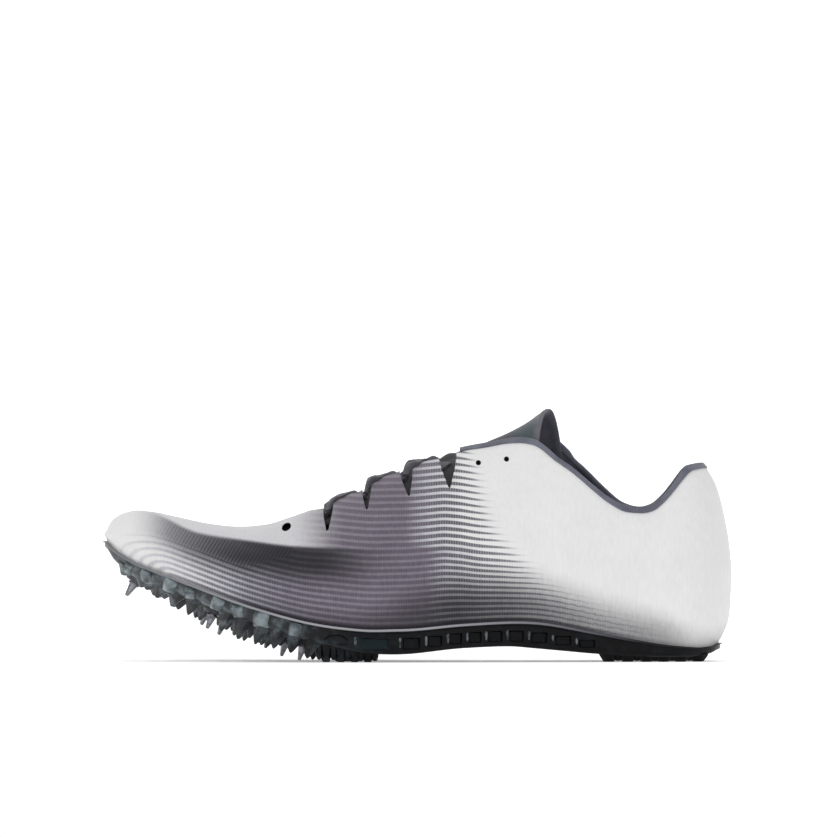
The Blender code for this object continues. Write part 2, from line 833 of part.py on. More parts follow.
def underside_normal(station, across):
    """Direction straight down from the underside at a point."""
    step = 0.01
    along = plate_underside(station + step, across) - plate_underside(station - step, across)
    wide = Vector((0, 1, 0))
    if abs(across) > 0.05:
        wide = plate_underside(station, across) - plate_underside(station, across * 0.9)
    normal = along.cross(wide).normalized()
    return -normal if normal.z > 0 else normal


def build_plate():
    """Stiff moulded plate with an upturned rim, its teeth, lugs, pods, pads and side hollows."""
    bm = bmesh.new()
    columns = {LATERAL: [], MEDIAL: []}
    for n in range(PLATE_SECTIONS + 1):
        t = n / PLATE_SECTIONS
        rows, bed, low = plate_ring(t)
        tip = n in (0, PLATE_SECTIONS)
        points = {side: [outline(t, side, inset) for inset, _ in rows] for side in (LATERAL, MEDIAL)}
        top = (points[LATERAL][0] + points[MEDIAL][0]) / 2
        base = (points[LATERAL][-1] + points[MEDIAL][-1]) / 2
        quarter = {side: base + (points[side][-1] - base) * 0.5 for side in points}
        heights = [height for _, height in rows]
        if tip:
            line = [bm.verts.new((p.x, p.y, z)) for p, z in zip(points[LATERAL], heights)]
            column = [line[0]] + line + [line[-1], line[-1]]
            columns[LATERAL].append(column)
            columns[MEDIAL].append(column)
            continue
        top_vert = bm.verts.new((top.x, top.y, bed))
        base_vert = bm.verts.new((base.x, base.y, low))
        for side in (LATERAL, MEDIAL):
            line = [bm.verts.new((p.x, p.y, z)) for p, z in zip(points[side], heights)]
            quarter_height = low + (heights[-1] - low) * 0.25
            soft = bm.verts.new((quarter[side].x, quarter[side].y, quarter_height))
            columns[side].append([top_vert] + line + [soft, base_vert])
    grid_faces(bm, columns[LATERAL])
    grid_faces(bm, [list(reversed(c)) for c in columns[MEDIAL]])
    plate = new_object("spike_plate", bm, (0.055, 0.062, 0.070), 0.38)
    apply_boolean(plate, plate_studs(), "UNION")
    apply_boolean(plate, plate_cutters(), "DIFFERENCE")
    return plate


def frustum(bm, top, foot, top_half, foot_half, sides=4, turn=0.0):
    """Closed tapered stud between two centres, its ends square to the line through them."""
    axis = (foot - top).normalized()
    across = axis.cross(Vector((1, 0, 0))).normalized()
    along = across.cross(axis).normalized()
    rings = []
    for centre, half in ((top, top_half), (foot, foot_half)):
        ring = []
        for n in range(sides):
            angle = turn + 2 * math.pi * n / sides
            ring.append(bm.verts.new(centre + (along * math.cos(angle) + across * math.sin(angle)) * half))
        rings.append(ring)
    sweep_faces(bm, rings)


def row_stations(first, last, count):
    return [first + (last - first) * n / (count - 1) for n in range(count)]


def plate_studs():
    """Teeth, floor lugs, pads and pin pods as one cutter mesh."""
    bm = bmesh.new()
    pods = [plate_underside(station, across) for station, across in PINS]
    for across, first, last, count, half in TEETH:
        for station in row_stations(first, last, count):
            foot = plate_underside(station, across)
            if min((foot - pod).length for pod in pods) < POD_RADIUS + half + 0.0006:
                continue
            normal = underside_normal(station, across)
            length = (foot.z - read(TREAD, 1, station) * TOE_SPRING) * -normal.z
            frustum(bm, foot - normal * 0.0008, foot + normal * length, half * 1.5, TOOTH_TIP)
    for across, first, last, count, half, sole in LUGS:
        for station in row_stations(first, last, count):
            foot = plate_underside(station, across)
            top = Vector((foot.x, foot.y, foot.z + 0.0008))
            frustum(bm, top, Vector((foot.x, foot.y, 0.0)), half * 1.4, sole * 1.4, 4, math.pi / 4)
    for station, long, wide in PADS:
        foot = plate_underside(station, 0.0)
        block(bm, foot.x - long, foot.x + long, foot.y - wide, foot.y + wide, 0.0, foot.z + 0.0008)
    for station, across in PINS:
        foot = plate_underside(station, across)
        normal = underside_normal(station, across)
        end = foot + normal * POD_HEIGHT
        frustum(bm, foot - normal * 0.0010, end, POD_RADIUS * 1.25, POD_RADIUS, PIN_SIDES)
    return new_object("stud_cutter", bm, None, 0)


def block(bm, x0, x1, y0, y1, z0, z1):
    """Box between two corners."""
    rings = []
    for x in (x0, x1):
        rings.append([bm.verts.new(p) for p in ((x, y0, z0), (x, y1, z0), (x, y1, z1), (x, y0, z1))])
    sweep_faces(bm, rings)


def plate_cutters():
    """Pin seats and the hollows of the side walls as one cutter mesh."""
    bm = bmesh.new()
    for station, across in PINS:
        foot = plate_underside(station, across)
        normal = underside_normal(station, across)
        face = foot + normal * POD_HEIGHT
        radius = PIN_SHANK + GAP
        frustum(bm, face - normal * PIN_SEAT, face + normal * 0.002, radius, radius, PIN_SIDES)
    for station, half, low, high in HOLLOWS:
        t = even_parameter(station)
        under = under_height(station)
        side_height = read(PROFILE, 3, station) * SIDE_HEIGHT
        for side in (LATERAL, MEDIAL):
            face = outline(t, side, SIDE_STEP)
            near = outline(even_parameter(station + 0.01), side, SIDE_STEP)
            along = Vector((near.x - face.x, near.y - face.y, 0)).normalized()
            outwards = Vector((along.y, -along.x, 0)) * -side
            centre = Vector((face.x, face.y, 0))
            rings = []
            for reach, grow in ((-HOLLOW_DEPTH, 0.8), (0.003, 1.25)):
                ring = []
                for run, level in ((-1, low), (1, low), (1, high), (-1, high)):
                    middle = (low + high) / 2
                    height = under + (middle + (level - middle) * grow) * side_height
                    spot = centre + outwards * reach + along * run * half * grow
                    ring.append(bm.verts.new((spot.x, spot.y, height)))
                rings.append(ring)
            sweep_faces(bm, rings)
    return new_object("hollow_cutter", bm, None, 0)


def build_pin(index, station, across):
    """Steel spike pin seated in its pod."""
    foot = plate_underside(station, across)
    normal = underside_normal(station, across)
    face = foot + normal * POD_HEIGHT
    side = normal.cross(Vector((1, 0, 0))).normalized()
    along = side.cross(normal).normalized()
    profile = (
        (-PIN_SEAT + GAP, PIN_SHANK),
        (GAP, PIN_SHANK),
        (GAP, PIN_RADIUS),
        (GAP + PIN_FLANGE, PIN_RADIUS),
        (GAP + PIN_FLANGE, PIN_RADIUS * 0.72),
        (GAP + PIN_LENGTH, PIN_TIP),
    )
    bm = bmesh.new()
    rings = []
    for reach, radius in profile:
        ring = []
        for n in range(PIN_SIDES):
            angle = 2 * math.pi * n / PIN_SIDES
            spot = face + normal * reach + (along * math.cos(angle) + side * math.sin(angle)) * radius
            ring.append(bm.verts.new(spot))
        rings.append(ring)
    sweep_faces(bm, rings)
    return new_object("pin_%d" % index, bm, (0.62, 0.62, 0.63), 0.28, 1.0)


def centre_all(things):
    """Moves everything so that the box of the shoe stands on the floor, centred on the origin."""
    points = [v.co for thing in things for v in thing.data.vertices]
    shift = Vector((
        -(min(p.x for p in points) + max(p.x for p in points)) / 2,
        -(min(p.y for p in points) + max(p.y for p in points)) / 2,
        -min(p.z for p in points),
    ))
    for thing in things:
        for vert in thing.data.vertices:
            vert.co += shift


def smooth_round(things):
    for thing in things:
        for polygon in thing.data.polygons:
            polygon.use_smooth = True
        thing.data.set_sharp_from_angle(angle=math.radians(34))


def build():
    for thing in list(bpy.data.objects):
        bpy.data.objects.remove(thing)
    upper, rim = build_upper()
    things = [upper, build_binding(rim), build_tongue(), build_lace(), build_insole(), build_plate()]
    for index, (station, across) in enumerate(PINS, 1):
        things.append(build_pin(index, station, across))
    centre_all(things)
    smooth_round(things)


build()
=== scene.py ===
"""Looks of the track spike shoe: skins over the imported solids, materials, light and camera.

Metres, Z up, toe towards -X, lateral side towards -Y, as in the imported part.
"""

import math
import random

import bmesh
import bpy
import numpy as np
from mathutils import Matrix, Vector


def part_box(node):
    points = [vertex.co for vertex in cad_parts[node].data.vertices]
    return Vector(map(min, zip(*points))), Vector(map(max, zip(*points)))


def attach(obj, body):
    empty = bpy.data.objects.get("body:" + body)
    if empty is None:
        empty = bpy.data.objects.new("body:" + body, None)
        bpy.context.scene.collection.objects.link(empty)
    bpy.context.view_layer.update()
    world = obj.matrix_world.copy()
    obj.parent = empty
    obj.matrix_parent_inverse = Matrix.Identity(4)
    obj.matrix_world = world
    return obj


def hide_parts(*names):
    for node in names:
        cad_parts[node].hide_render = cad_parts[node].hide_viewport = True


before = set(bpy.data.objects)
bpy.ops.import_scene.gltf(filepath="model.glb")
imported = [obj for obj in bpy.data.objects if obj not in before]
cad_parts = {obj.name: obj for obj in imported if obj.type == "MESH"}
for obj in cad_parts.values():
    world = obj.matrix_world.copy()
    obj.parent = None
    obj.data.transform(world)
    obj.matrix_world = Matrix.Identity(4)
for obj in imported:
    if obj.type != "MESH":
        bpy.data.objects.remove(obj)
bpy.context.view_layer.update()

# Main sizes of the part, repeated from its source
PLATE_LENGTH = 0.2730
BALL_WIDTH = 0.0885
INSTEP_HEIGHT = 0.0974
HEEL_HEIGHT = 0.0855
TOE_SPRING = 0.050
ARCH_RISE = 0.0070
SIDE_HEIGHT = 0.0118
HEEL_BULGE = 0.0062
TOE_BULGE = 0.0016
GAP = 0.0003
WALL = 0.0014
RIM = 0.0016
INSOLE_THICKNESS = 0.0022
TONGUE_THICKNESS = 0.0018
TONGUE_DROP = 0.0012
BINDING_HEIGHT = 0.0027
BINDING_PROUD = 0.0006
MEDIAL_RISE = 0.0078
TOE_ROUND = 0.105
HEEL_ROUND = 0.125
THROAT_START = 0.338
THROAT_ROUND = 0.018
BINDING_START = 0.579
TUCK = 0.0050
CROWN = 0.0024
BED_SHARE = 0.60
RIM_ROUND = 0.0003
SIDE_STEP = 0.0009
TONGUE_START = 0.290
TONGUE_TIP = 0.726
TONGUE_SKEW = 0.028
TONGUE_FLARE = 0.005
LACE_WIDTH = 0.0046
LACE_THICKNESS = 0.0012
LACE_DIP = 0.0008
PIN_LENGTH = 0.0066
PIN_RADIUS = 0.0026
PIN_TIP = 0.0005
PIN_FLANGE = 0.0009
PIN_SHANK = 0.0018
PIN_SEAT = 0.0022
POD_RADIUS = 0.0044
POD_HEIGHT = 0.0016
HOLLOW_DEPTH = 0.0011
TOOTH_TIP = 0.0005
PART_SECTIONS = 34

PLAN = (
    # station, lateral, medial, ridge
    (0.00, 0.250, 0.250, 0.102), (0.05, 0.305, 0.283, 0.103), (0.10, 0.373, 0.328, 0.101),
    (0.20, 0.486, 0.395, 0.090), (0.27, 0.537, 0.430, 0.079), (0.33, 0.563, 0.433, 0.067),
    (0.40, 0.565, 0.405, 0.051), (0.50, 0.506, 0.325, 0.034), (0.60, 0.426, 0.268, 0.017),
    (0.68, 0.376, 0.262, 0.007), (0.76, 0.351, 0.288, 0.002), (0.84, 0.349, 0.326, 0.000),
    (0.92, 0.350, 0.345, 0.000), (1.00, 0.342, 0.342, 0.000),
)
PROFILE = (
    # station, toe, arch, side, tuck, crown
    (0.000, 1.000, 0.00, 0.24, 0.10, 0.0), (0.015, 0.885, 0.00, 0.46, 0.30, 0.2),
    (0.045, 0.750, 0.00, 0.60, 0.60, 0.7), (0.094, 0.642, 0.00, 0.60, 0.90, 1.0),
    (0.158, 0.512, 0.00, 0.60, 1.00, 1.0), (0.218, 0.390, 0.00, 0.60, 1.00, 1.0),
    (0.270, 0.296, 0.00, 0.62, 1.00, 1.0), (0.320, 0.214, 0.00, 0.66, 0.95, 0.9),
    (0.372, 0.138, 0.00, 0.76, 0.90, 0.6), (0.423, 0.086, 0.00, 0.86, 0.80, 0.3),
    (0.480, 0.050, 0.13, 0.94, 0.75, 0.1), (0.587, 0.018, 0.74, 0.91, 0.70, 0.0),
    (0.656, 0.000, 0.97, 0.93, 0.70, 0.0), (0.700, 0.000, 0.84, 0.98, 0.70, 0.0),
    (0.796, 0.000, 0.50, 0.80, 0.65, 0.0), (0.850, 0.000, 0.37, 0.64, 0.60, 0.0),
    (0.905, 0.000, 0.31, 0.46, 0.50, 0.0), (0.955, 0.000, 0.33, 0.34, 0.40, 0.0),
    (0.985, 0.000, 0.52, 0.27, 0.25, 0.0), (1.000, 0.000, 0.78, 0.22, 0.10, 0.0),
)
TREAD = (
    # station, height
    (0.020, 0.735), (0.078, 0.560), (0.126, 0.430), (0.175, 0.300), (0.218, 0.190), (0.249, 0.140),
    (0.304, 0.075), (0.338, 0.022), (0.352, 0.004),
)
TOPLINE = (
    # station, height, opening
    (0.000, 0.575, 0.055), (0.015, 0.638, 0.055), (0.031, 0.669, 0.055), (0.050, 0.681, 0.055),
    (0.079, 0.674, 0.055), (0.126, 0.648, 0.055), (0.175, 0.622, 0.055), (0.225, 0.608, 0.055),
    (0.265, 0.618, 0.055), (0.300, 0.648, 0.055), (0.339, 0.682, 0.055), (0.357, 0.690, 0.057),
    (0.374, 0.732, 0.058), (0.420, 0.770, 0.062), (0.435, 0.809, 0.064), (0.480, 0.855, 0.070),
    (0.501, 0.884, 0.073), (0.543, 0.914, 0.082), (0.579, 0.948, 0.106), (0.620, 0.968, 0.154),
    (0.656, 0.986, 0.188), (0.676, 0.989, 0.211), (0.698, 0.981, 0.236), (0.737, 0.911, 0.270),
    (0.763, 0.861, 0.284), (0.787, 0.804, 0.292), (0.812, 0.752, 0.296), (0.837, 0.726, 0.296),
    (0.861, 0.734, 0.292), (0.880, 0.758, 0.286), (0.901, 0.812, 0.278), (0.924, 0.882, 0.268),
    (0.948, 0.946, 0.258), (0.972, 0.987, 0.248), (1.000, 0.999, 0.240),
)
SWELL = (
    # station, lateral, medial, level, power
    (0.00, 1.00, 1.00, 0.35, 2.0), (0.10, 1.03, 1.03, 0.32, 2.2), (0.20, 1.05, 1.05, 0.30, 2.2),
    (0.33, 1.06, 1.06, 0.28, 2.0), (0.45, 1.05, 1.07, 0.26, 1.9), (0.55, 1.06, 1.18, 0.26, 1.9),
    (0.66, 1.08, 1.28, 0.28, 2.0), (0.76, 1.10, 1.20, 0.30, 2.2), (0.86, 1.10, 1.12, 0.32, 2.3),
    (1.00, 1.10, 1.10, 0.34, 2.3),
)
HEEL_CURVE = (
    # height, stand
    (0.09, 0.00), (0.13, 0.28), (0.22, 0.76), (0.32, 0.90), (0.47, 0.95), (0.60, 0.81),
    (0.77, 0.39), (0.86, 0.08), (0.93, -0.29), (0.98, -0.68), (1.04, -1.20),
)
TONGUE_RISE = (
    # station, height
    (0.290, 0.606), (0.340, 0.650), (0.357, 0.660), (0.420, 0.740), (0.480, 0.828), (0.543, 0.895),
    (0.579, 0.936), (0.620, 0.988), (0.656, 1.030), (0.690, 1.079), (0.722, 1.140), (0.760, 1.186),
)
TONGUE_WIDTHS = (
    # station, half width
    (0.29, 0.190), (0.36, 0.250), (0.45, 0.270), (0.58, 0.280), (0.66, 0.280), (0.76, 0.275),
)
NOTCHES = (
    # front, back, tip, depth
    (0.357, 0.374, 0.3645, 0.122),
    (0.420, 0.435, 0.4275, 0.105),
    (0.480, 0.501, 0.4950, 0.132),
    (0.543, 0.5715, 0.5600, 0.150),
)
TEETH = (
    # across, first station, last station, count, half base
    (-0.95, 0.030, 0.338, 12, 0.0032),
    (0.95, 0.030, 0.338, 12, 0.0032),
    (-0.52, 0.085, 0.345, 8, 0.0028),
    (0.52, 0.085, 0.345, 8, 0.0028),
    (0.00, 0.040, 0.335, 9, 0.0028),
)
LUGS = (
    # across, first station, last station, count, half base, half foot
    (-0.85, 0.362, 0.432, 4, 0.0026, 0.0012),
    (0.85, 0.362, 0.432, 4, 0.0026, 0.0012),
    (-0.48, 0.362, 0.432, 4, 0.0028, 0.0013),
    (0.48, 0.362, 0.432, 4, 0.0028, 0.0013),
    (-0.80, 0.815, 0.966, 6, 0.0034, 0.0019),
    (0.80, 0.815, 0.966, 6, 0.0034, 0.0019),
    (-0.36, 0.815, 0.966, 6, 0.0034, 0.0019),
    (0.36, 0.815, 0.966, 6, 0.0034, 0.0019),
)
PADS = (
    # station, half length, half width
    (0.400, 0.0060, 0.0090),
    (0.892, 0.0060, 0.0090),
)
PINS = (
    # station, across
    (0.046, -0.42), (0.046, 0.42), (0.176, -0.70), (0.165, 0.70), (0.194, 0.00), (0.271, 0.72),
    (0.296, 0.00), (0.326, -0.70),
)
HOLLOWS = (
    # station, half length, lower end, upper end
    (0.378, 0.0058, 0.10, 0.62), (0.440, 0.0066, 0.12, 0.66), (0.500, 0.0040, 0.16, 0.64),
    (0.538, 0.0032, 0.16, 0.64), (0.571, 0.0028, 0.18, 0.64), (0.602, 0.0028, 0.18, 0.64),
    (0.634, 0.0032, 0.18, 0.64), (0.668, 0.0032, 0.18, 0.64), (0.704, 0.0036, 0.20, 0.62),
    (0.742, 0.0036, 0.22, 0.60), (0.780, 0.0036, 0.24, 0.58),
)
LATERAL = -1
MEDIAL = 1

# Fineness of the skins
UPPER_COLUMNS = 230
UPPER_ROWS = 118
LINING_STEP = 6
PLATE_COLUMNS = 170

# Printed ribs and hatching of the upper
RIB_COUNT = 11
RIB_PITCH = 0.00286
RIB_TOE_X = -0.1060
RIB_TOE_STRETCH = 0.55
RIB_HEIGHT = 0.00022
RIB_REACH = 0.0152
RIB_REACH_STEPS = (
    # height that the ribbed field gains towards the heel, x where the gain starts, x where it is full
    (0.012, -0.080, -0.050),
    (0.050, -0.057, -0.037),
)
RIB_BORDER = (-0.0030, 0.0024)
RIB_FIRST_X = (-0.1335, -0.1240)
HATCH_FIRST_X = (-0.124, -0.106)
HATCH_LAST_X = (-0.056, -0.036)
BARE_VAMP_X = (-0.060, -0.048)
SEAM_SHADE = 0.7

RIBS = (
    # x, height of the eleventh rib above the plate's lip
    (-0.1130, 0.0265), (-0.0690, 0.0268), (-0.0513, 0.0277), (-0.0337, 0.0295), (0.0103, 0.0295),
    (0.0169, 0.0286), (0.0279, 0.0264), (0.0367, 0.0253), (0.0455, 0.0246), (0.1400, 0.0246),
)
RIB_END = (
    # height, x where the ribs have faded out towards the heel, length of the fade
    (0.0100, 0.1290, 0.080), (0.0158, 0.1240, 0.078), (0.0215, 0.1050, 0.065),
    (0.0270, 0.0900, 0.055), (0.0356, 0.0670, 0.042), (0.0445, 0.0570, 0.034),
    (0.0500, 0.0500, 0.030), (0.0576, 0.0420, 0.025), (0.0660, 0.0380, 0.024),
    (0.0840, 0.0330, 0.022), (0.0930, 0.0290, 0.020),
)
LIP_SHADE = (
    # x, light left beside the lip, height over the lip where the shade starts to lift and where it ends
    (-0.0950, 1.00, 0.001, 0.006), (-0.0513, 0.74, 0.001, 0.009), (-0.0337, 0.56, 0.001, 0.010),
    (-0.0160, 0.44, 0.002, 0.015), (0.0015, 0.33, 0.005, 0.025), (0.0190, 0.15, 0.007, 0.032),
    (0.0367, 0.17, 0.006, 0.031), (0.0543, 0.25, 0.005, 0.027), (0.0720, 0.33, 0.004, 0.023),
    (0.0895, 0.38, 0.003, 0.020), (0.1070, 0.42, 0.003, 0.018), (0.1250, 0.75, 0.001, 0.012),
)
LINE_SHADE = (
    # x, light left just below the field line
    (-0.1280, 1.00), (-0.1180, 0.80), (-0.1070, 0.44), (-0.0910, 0.30), (-0.0775, 0.16),
    (-0.0600, 0.12), (-0.0425, 0.14), (-0.0260, 0.52), (-0.0100, 0.95), (0.0100, 1.00),
)
RIB_DARK = (
    # x, share of the pitch that is dark groove
    (-0.1350, 0.38), (-0.1000, 0.52), (-0.0700, 0.58), (-0.0500, 0.56), (0.0060, 0.60),
    (0.0180, 0.60), (0.0450, 0.48), (0.0700, 0.44), (0.1200, 0.40),
)
FIELD_LINE = (
    # x, height
    (-0.1390, 0.0690), (-0.1173, 0.0656), (-0.0953, 0.0563), (-0.0733, 0.0528), (-0.0513, 0.0502),
    (-0.0293, 0.0493), (-0.0073, 0.0497), (0.0147, 0.0508), (0.0520, 0.0512), (0.1400, 0.0512),
)


def read(table, column, key):
    """Value of a table's column at a key, on a smooth curve through its rows."""
    if key <= table[0][0]:
        return table[0][column]
    if key >= table[-1][0]:
        return table[-1][column]
    last = len(table) - 1
    i = max(n for n in range(last) if table[n][0] <= key)
    x0, x1 = table[i][0], table[i + 1][0]
    y0, y1 = table[i][column], table[i + 1][column]

    def slope(n):
        if n in (0, last):
            return 0.0
        before = (table[n][column] - table[n - 1][column]) / (table[n][0] - table[n - 1][0])
        after = (table[n + 1][column] - table[n][column]) / (table[n + 1][0] - table[n][0])
        return 2 * before * after / (before + after) if before * after > 0 else 0.0

    step = x1 - x0
    t = (key - x0) / step
    blend = t * t * (3 - 2 * t)
    lead = step * slope(i) * t * (1 - t) ** 2
    tail = step * slope(i + 1) * t * t * (t - 1)
    return y0 + (y1 - y0) * blend + lead + tail


def ease(value, start, end):
    """Smooth step from 0 at start to 1 at end, for numbers and arrays."""
    t = np.clip((value - start) / (end - start), 0.0, 1.0)
    return t * t * (3 - 2 * t)


def round_end(station):
    """Share of the width that the rounded toe and heel leave at a station."""
    share = 1.0
    if station < TOE_ROUND:
        share = math.sqrt(max(1 - (1 - station / TOE_ROUND) ** 2, 0.0))
    if station > 1 - HEEL_ROUND:
        share = math.sqrt(max(1 - (1 - (1 - station) / HEEL_ROUND) ** 2, 0.0))
    return share


def remap(t):
    """Station for an even parameter: crowded at the two ends, where the outline turns."""
    soft = 0.10
    if t < soft:
        value = t * t / (2 * soft)
    elif t > 1 - soft:
        value = 1 - soft - (1 - t) ** 2 / (2 * soft)
    else:
        value = t - soft / 2
    return value / (1 - soft)


def even_parameter(station):
    """Even parameter of a station."""
    low, high = 0.0, 1.0
    for _ in range(40):
        middle = (low + high) / 2
        if remap(middle) < station:
            low = middle
        else:
            high = middle
    return (low + high) / 2


def outline_point(t, side):
    """Point of the plate's edge in plan at an even parameter."""
    station = remap(min(max(t, 0.0), 1.0))
    half = read(PLAN, 1 if side == LATERAL else 2, station) * BALL_WIDTH * round_end(station)
    return Vector((station * PLATE_LENGTH, read(PLAN, 3, station) * BALL_WIDTH + side * half))


def outline(t, side, inset):
    """The same point moved inwards by the inset, square to the edge."""
    step = 0.002
    here = outline_point(t, side)
    if t < step:
        return Vector((here.x + inset, here.y))
    if t > 1 - step:
        return Vector((here.x - inset, here.y))
    along = outline_point(t + step, side) - outline_point(t - step, side)
    along.normalize()
    inwards = Vector((along.y, -along.x)) * side
    return here + inwards * inset


def under_height(station):
    """Height of the plate's underside at its edge."""
    return read(PROFILE, 1, station) * TOE_SPRING + read(PROFILE, 2, station) * ARCH_RISE


def lip_height(station):
    """Height of the plate's upturned lip."""
    return under_height(station) + read(PROFILE, 3, station) * SIDE_HEIGHT


def bed_height(station):
    """Height of the bed that the insole lies on."""
    return under_height(station) + BED_SHARE * read(PROFILE, 3, station) * SIDE_HEIGHT


def top_height(station, side):
    """Height of the upper's top line, or of its ridge in front of the throat."""
    weight = ease(station, 0.72, 0.95)
    height = read(TOPLINE, 1, station) * (INSTEP_HEIGHT * (1 - weight) + HEEL_HEIGHT * weight)
    if side == MEDIAL:
        height += MEDIAL_RISE * ease(station, 0.66, 0.72) * (1 - ease(station, 0.765, 0.865))
    return height


def opening(station):
    """Half width of the throat or collar at the top line."""
    if station <= THROAT_START:
        return 0.0
    front = min((station - THROAT_START) / THROAT_ROUND, 1.0)
    start = math.sqrt(1 - (1 - front) ** 2)
    return read(TOPLINE, 2, station) * BALL_WIDTH * start * round_end(station)


def heel_shift(station, height):
    """How far the heel's back curve moves a point along the shoe."""
    share = ease(station, 0.60, 1.0)
    return share * HEEL_BULGE * read(HEEL_CURVE, 1, height / HEEL_HEIGHT)


def toe_shift(station, height, lip):
    """How far the toe's front stands out over the rim."""
    share = 1 - ease(station, 0.0, 0.05)
    return -TOE_BULGE * share * ease(height, lip, lip + 0.004)


def half_section(t, side):
    """Sizes of one half of the upper's section at an even parameter."""
    station = remap(t)
    foot = outline(t, side, RIM + GAP)
    other = outline(t, -side, RIM + GAP)
    ridge = Vector(((foot.x + other.x) / 2, read(PLAN, 3, station) * BALL_WIDTH))
    if t <= 0.0 or t >= 1.0:
        ridge = foot.copy()
    reach = (foot - ridge).length
    widest = reach * read(SWELL, 1 if side == LATERAL else 2, station)
    lip = lip_height(station)
    top = top_height(station, side)
    level = lip + read(SWELL, 3, station) * (top - lip)
    power = read(SWELL, 4, station)
    edge = min(opening(station), 0.92 * widest)
    share = (1 - (edge / widest) ** power) ** (1 / power) if widest > 1e-6 else 1.0
    return {
        "station": station, "foot": foot, "ridge": ridge, "reach": reach, "widest": widest, "lip": lip,
        "level": level, "power": power, "edge": edge, "crest": level + (top - level) / share,
    }


def place(section, width, height):
    """Point in space from a width across the section and a height."""
    station = section["station"]
    across = section["foot"] - section["ridge"]
    share = width / section["reach"] if section["reach"] > 1e-6 else 0.0
    spot = section["ridge"] + across * share
    shift = heel_shift(station, height) + toe_shift(station, height, section["lip"])
    return Vector((spot.x + shift, spot.y, height))


def arch_point(t, across, lift, crest_height=None):
    """Point of the closed arch over the throat, a width across from the ridge, lifted off the upper."""
    side = LATERAL if across < 0 else MEDIAL
    section = half_section(t, side)
    crest = crest_height
    if crest is None:
        other = half_section(t, -side)
        near = 1 - min(abs(across) / max(section["edge"], 0.001), 1.0)
        crest = section["crest"] + (other["crest"] - section["crest"]) * near / 2
    span = section["widest"] + lift
    share = min(abs(across) / span, 0.98)
    rise = (1 - share ** section["power"]) ** (1 / section["power"])
    return place(section, abs(across), section["level"] + (crest + lift - section["level"]) * rise)


def arch_normal(t, across):
    """Direction out of the arch at a width across from the ridge."""
    wide = arch_point(t, across + 0.002, 0.0) - arch_point(t, across - 0.002, 0.0)
    along = arch_point(t + 0.012, across, 0.0) - arch_point(t - 0.012, across, 0.0)
    return along.cross(wide).normalized()


def part_shift():
    """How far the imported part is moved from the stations' own axes."""
    low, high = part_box("spike_plate")
    sections = [n / PART_SECTIONS for n in range(PART_SECTIONS + 1)]
    sides = [outline(t, side, 0.0).y for t in sections for side in (LATERAL, MEDIAL)]
    return Vector((low.x, (low.y + high.y - min(sides) - max(sides)) / 2, 0.0))


SHIFT = part_shift()


# Meshes

def finish_mesh(mesh, sharp):
    """Outward faces, smooth shading and sharp edges past an angle in degrees."""
    bm = bmesh.new()
    bm.from_mesh(mesh)
    bmesh.ops.recalc_face_normals(bm, faces=bm.faces)
    bm.to_mesh(mesh)
    bm.free()
    mesh.polygons.foreach_set("use_smooth", [True] * len(mesh.polygons))
    mesh.set_sharp_from_angle(angle=math.radians(sharp))


def new_object(name, points, faces, sharp=40):
    """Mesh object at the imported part's place, from points on the stations' own axes."""
    mesh = bpy.data.meshes.new(name)
    mesh.from_pydata([tuple(Vector(p) + SHIFT) for p in points], [], faces)
    thing = bpy.data.objects.new(name, mesh)
    bpy.context.scene.collection.objects.link(thing)
    finish_mesh(mesh, sharp)
    return thing


def dress(thing, materials, nodes):
    """Gives a piece its materials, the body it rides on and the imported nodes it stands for."""
    for material in materials:
        thing.data.materials.append(material)
    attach(thing, "root")
    if nodes:
        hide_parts(*nodes)


def cut(thing, cutter):
    """Cuts a closed cutter away and removes it."""
    modifier = thing.modifiers.new("cut", "BOOLEAN")
    modifier.operation = "DIFFERENCE"
    modifier.solver = "EXACT"
    modifier.use_self = True
    modifier.object = cutter
    graph = bpy.context.evaluated_depsgraph_get()
    graph.update()
    mesh = bpy.data.meshes.new_from_object(thing.evaluated_get(graph))
    thing.modifiers.clear()
    thing.data = mesh
    bpy.data.objects.remove(cutter)


def closed_sheets(sheets):
    """Faces of two sheets of equal rows with the rims between them, and the count of one sheet's faces."""
    one, other = sheets
    faces = strip_faces(one) + strip_faces(other, flip=True)
    count = len(faces) // 2
    for n in range(len(one) - 1):
        for j in (0, -1):
            faces.append((one[n][j], one[n + 1][j], other[n + 1][j], other[n][j]))
    for n in (0, -1):
        for j in range(len(one[0]) - 1):
            faces.append((one[n][j], one[n][j + 1], other[n][j + 1], other[n][j]))
    return faces, count


def strip_faces(columns, flip=False):
    """Quads between neighbouring columns of point numbers, leaving out sides shrunk to a point."""
    faces = []
    for left, right in zip(columns, columns[1:]):
        for low in range(len(left) - 1):
            corners = []
            for index in (left[low], right[low], right[low + 1], left[low + 1]):
                if index not in corners:
                    corners.append(index)
            if len(corners) > 2:
                faces.append(tuple(reversed(corners)) if flip else tuple(corners))
    return faces


def cross_axes(axis):
    """Two directions square to an axis, the first nearest to the shoe's length."""
    across = axis.cross(Vector((1, 0, 0))).normalized()
    return across.cross(axis).normalized(), across


def circle(centre, along, across, radius, sides):
    """Ring of points about a centre, from one direction to the other."""
    angles = [2 * math.pi * n / sides for n in range(sides)]
    return [centre + (along * math.cos(angle) + across * math.sin(angle)) * radius for angle in angles]


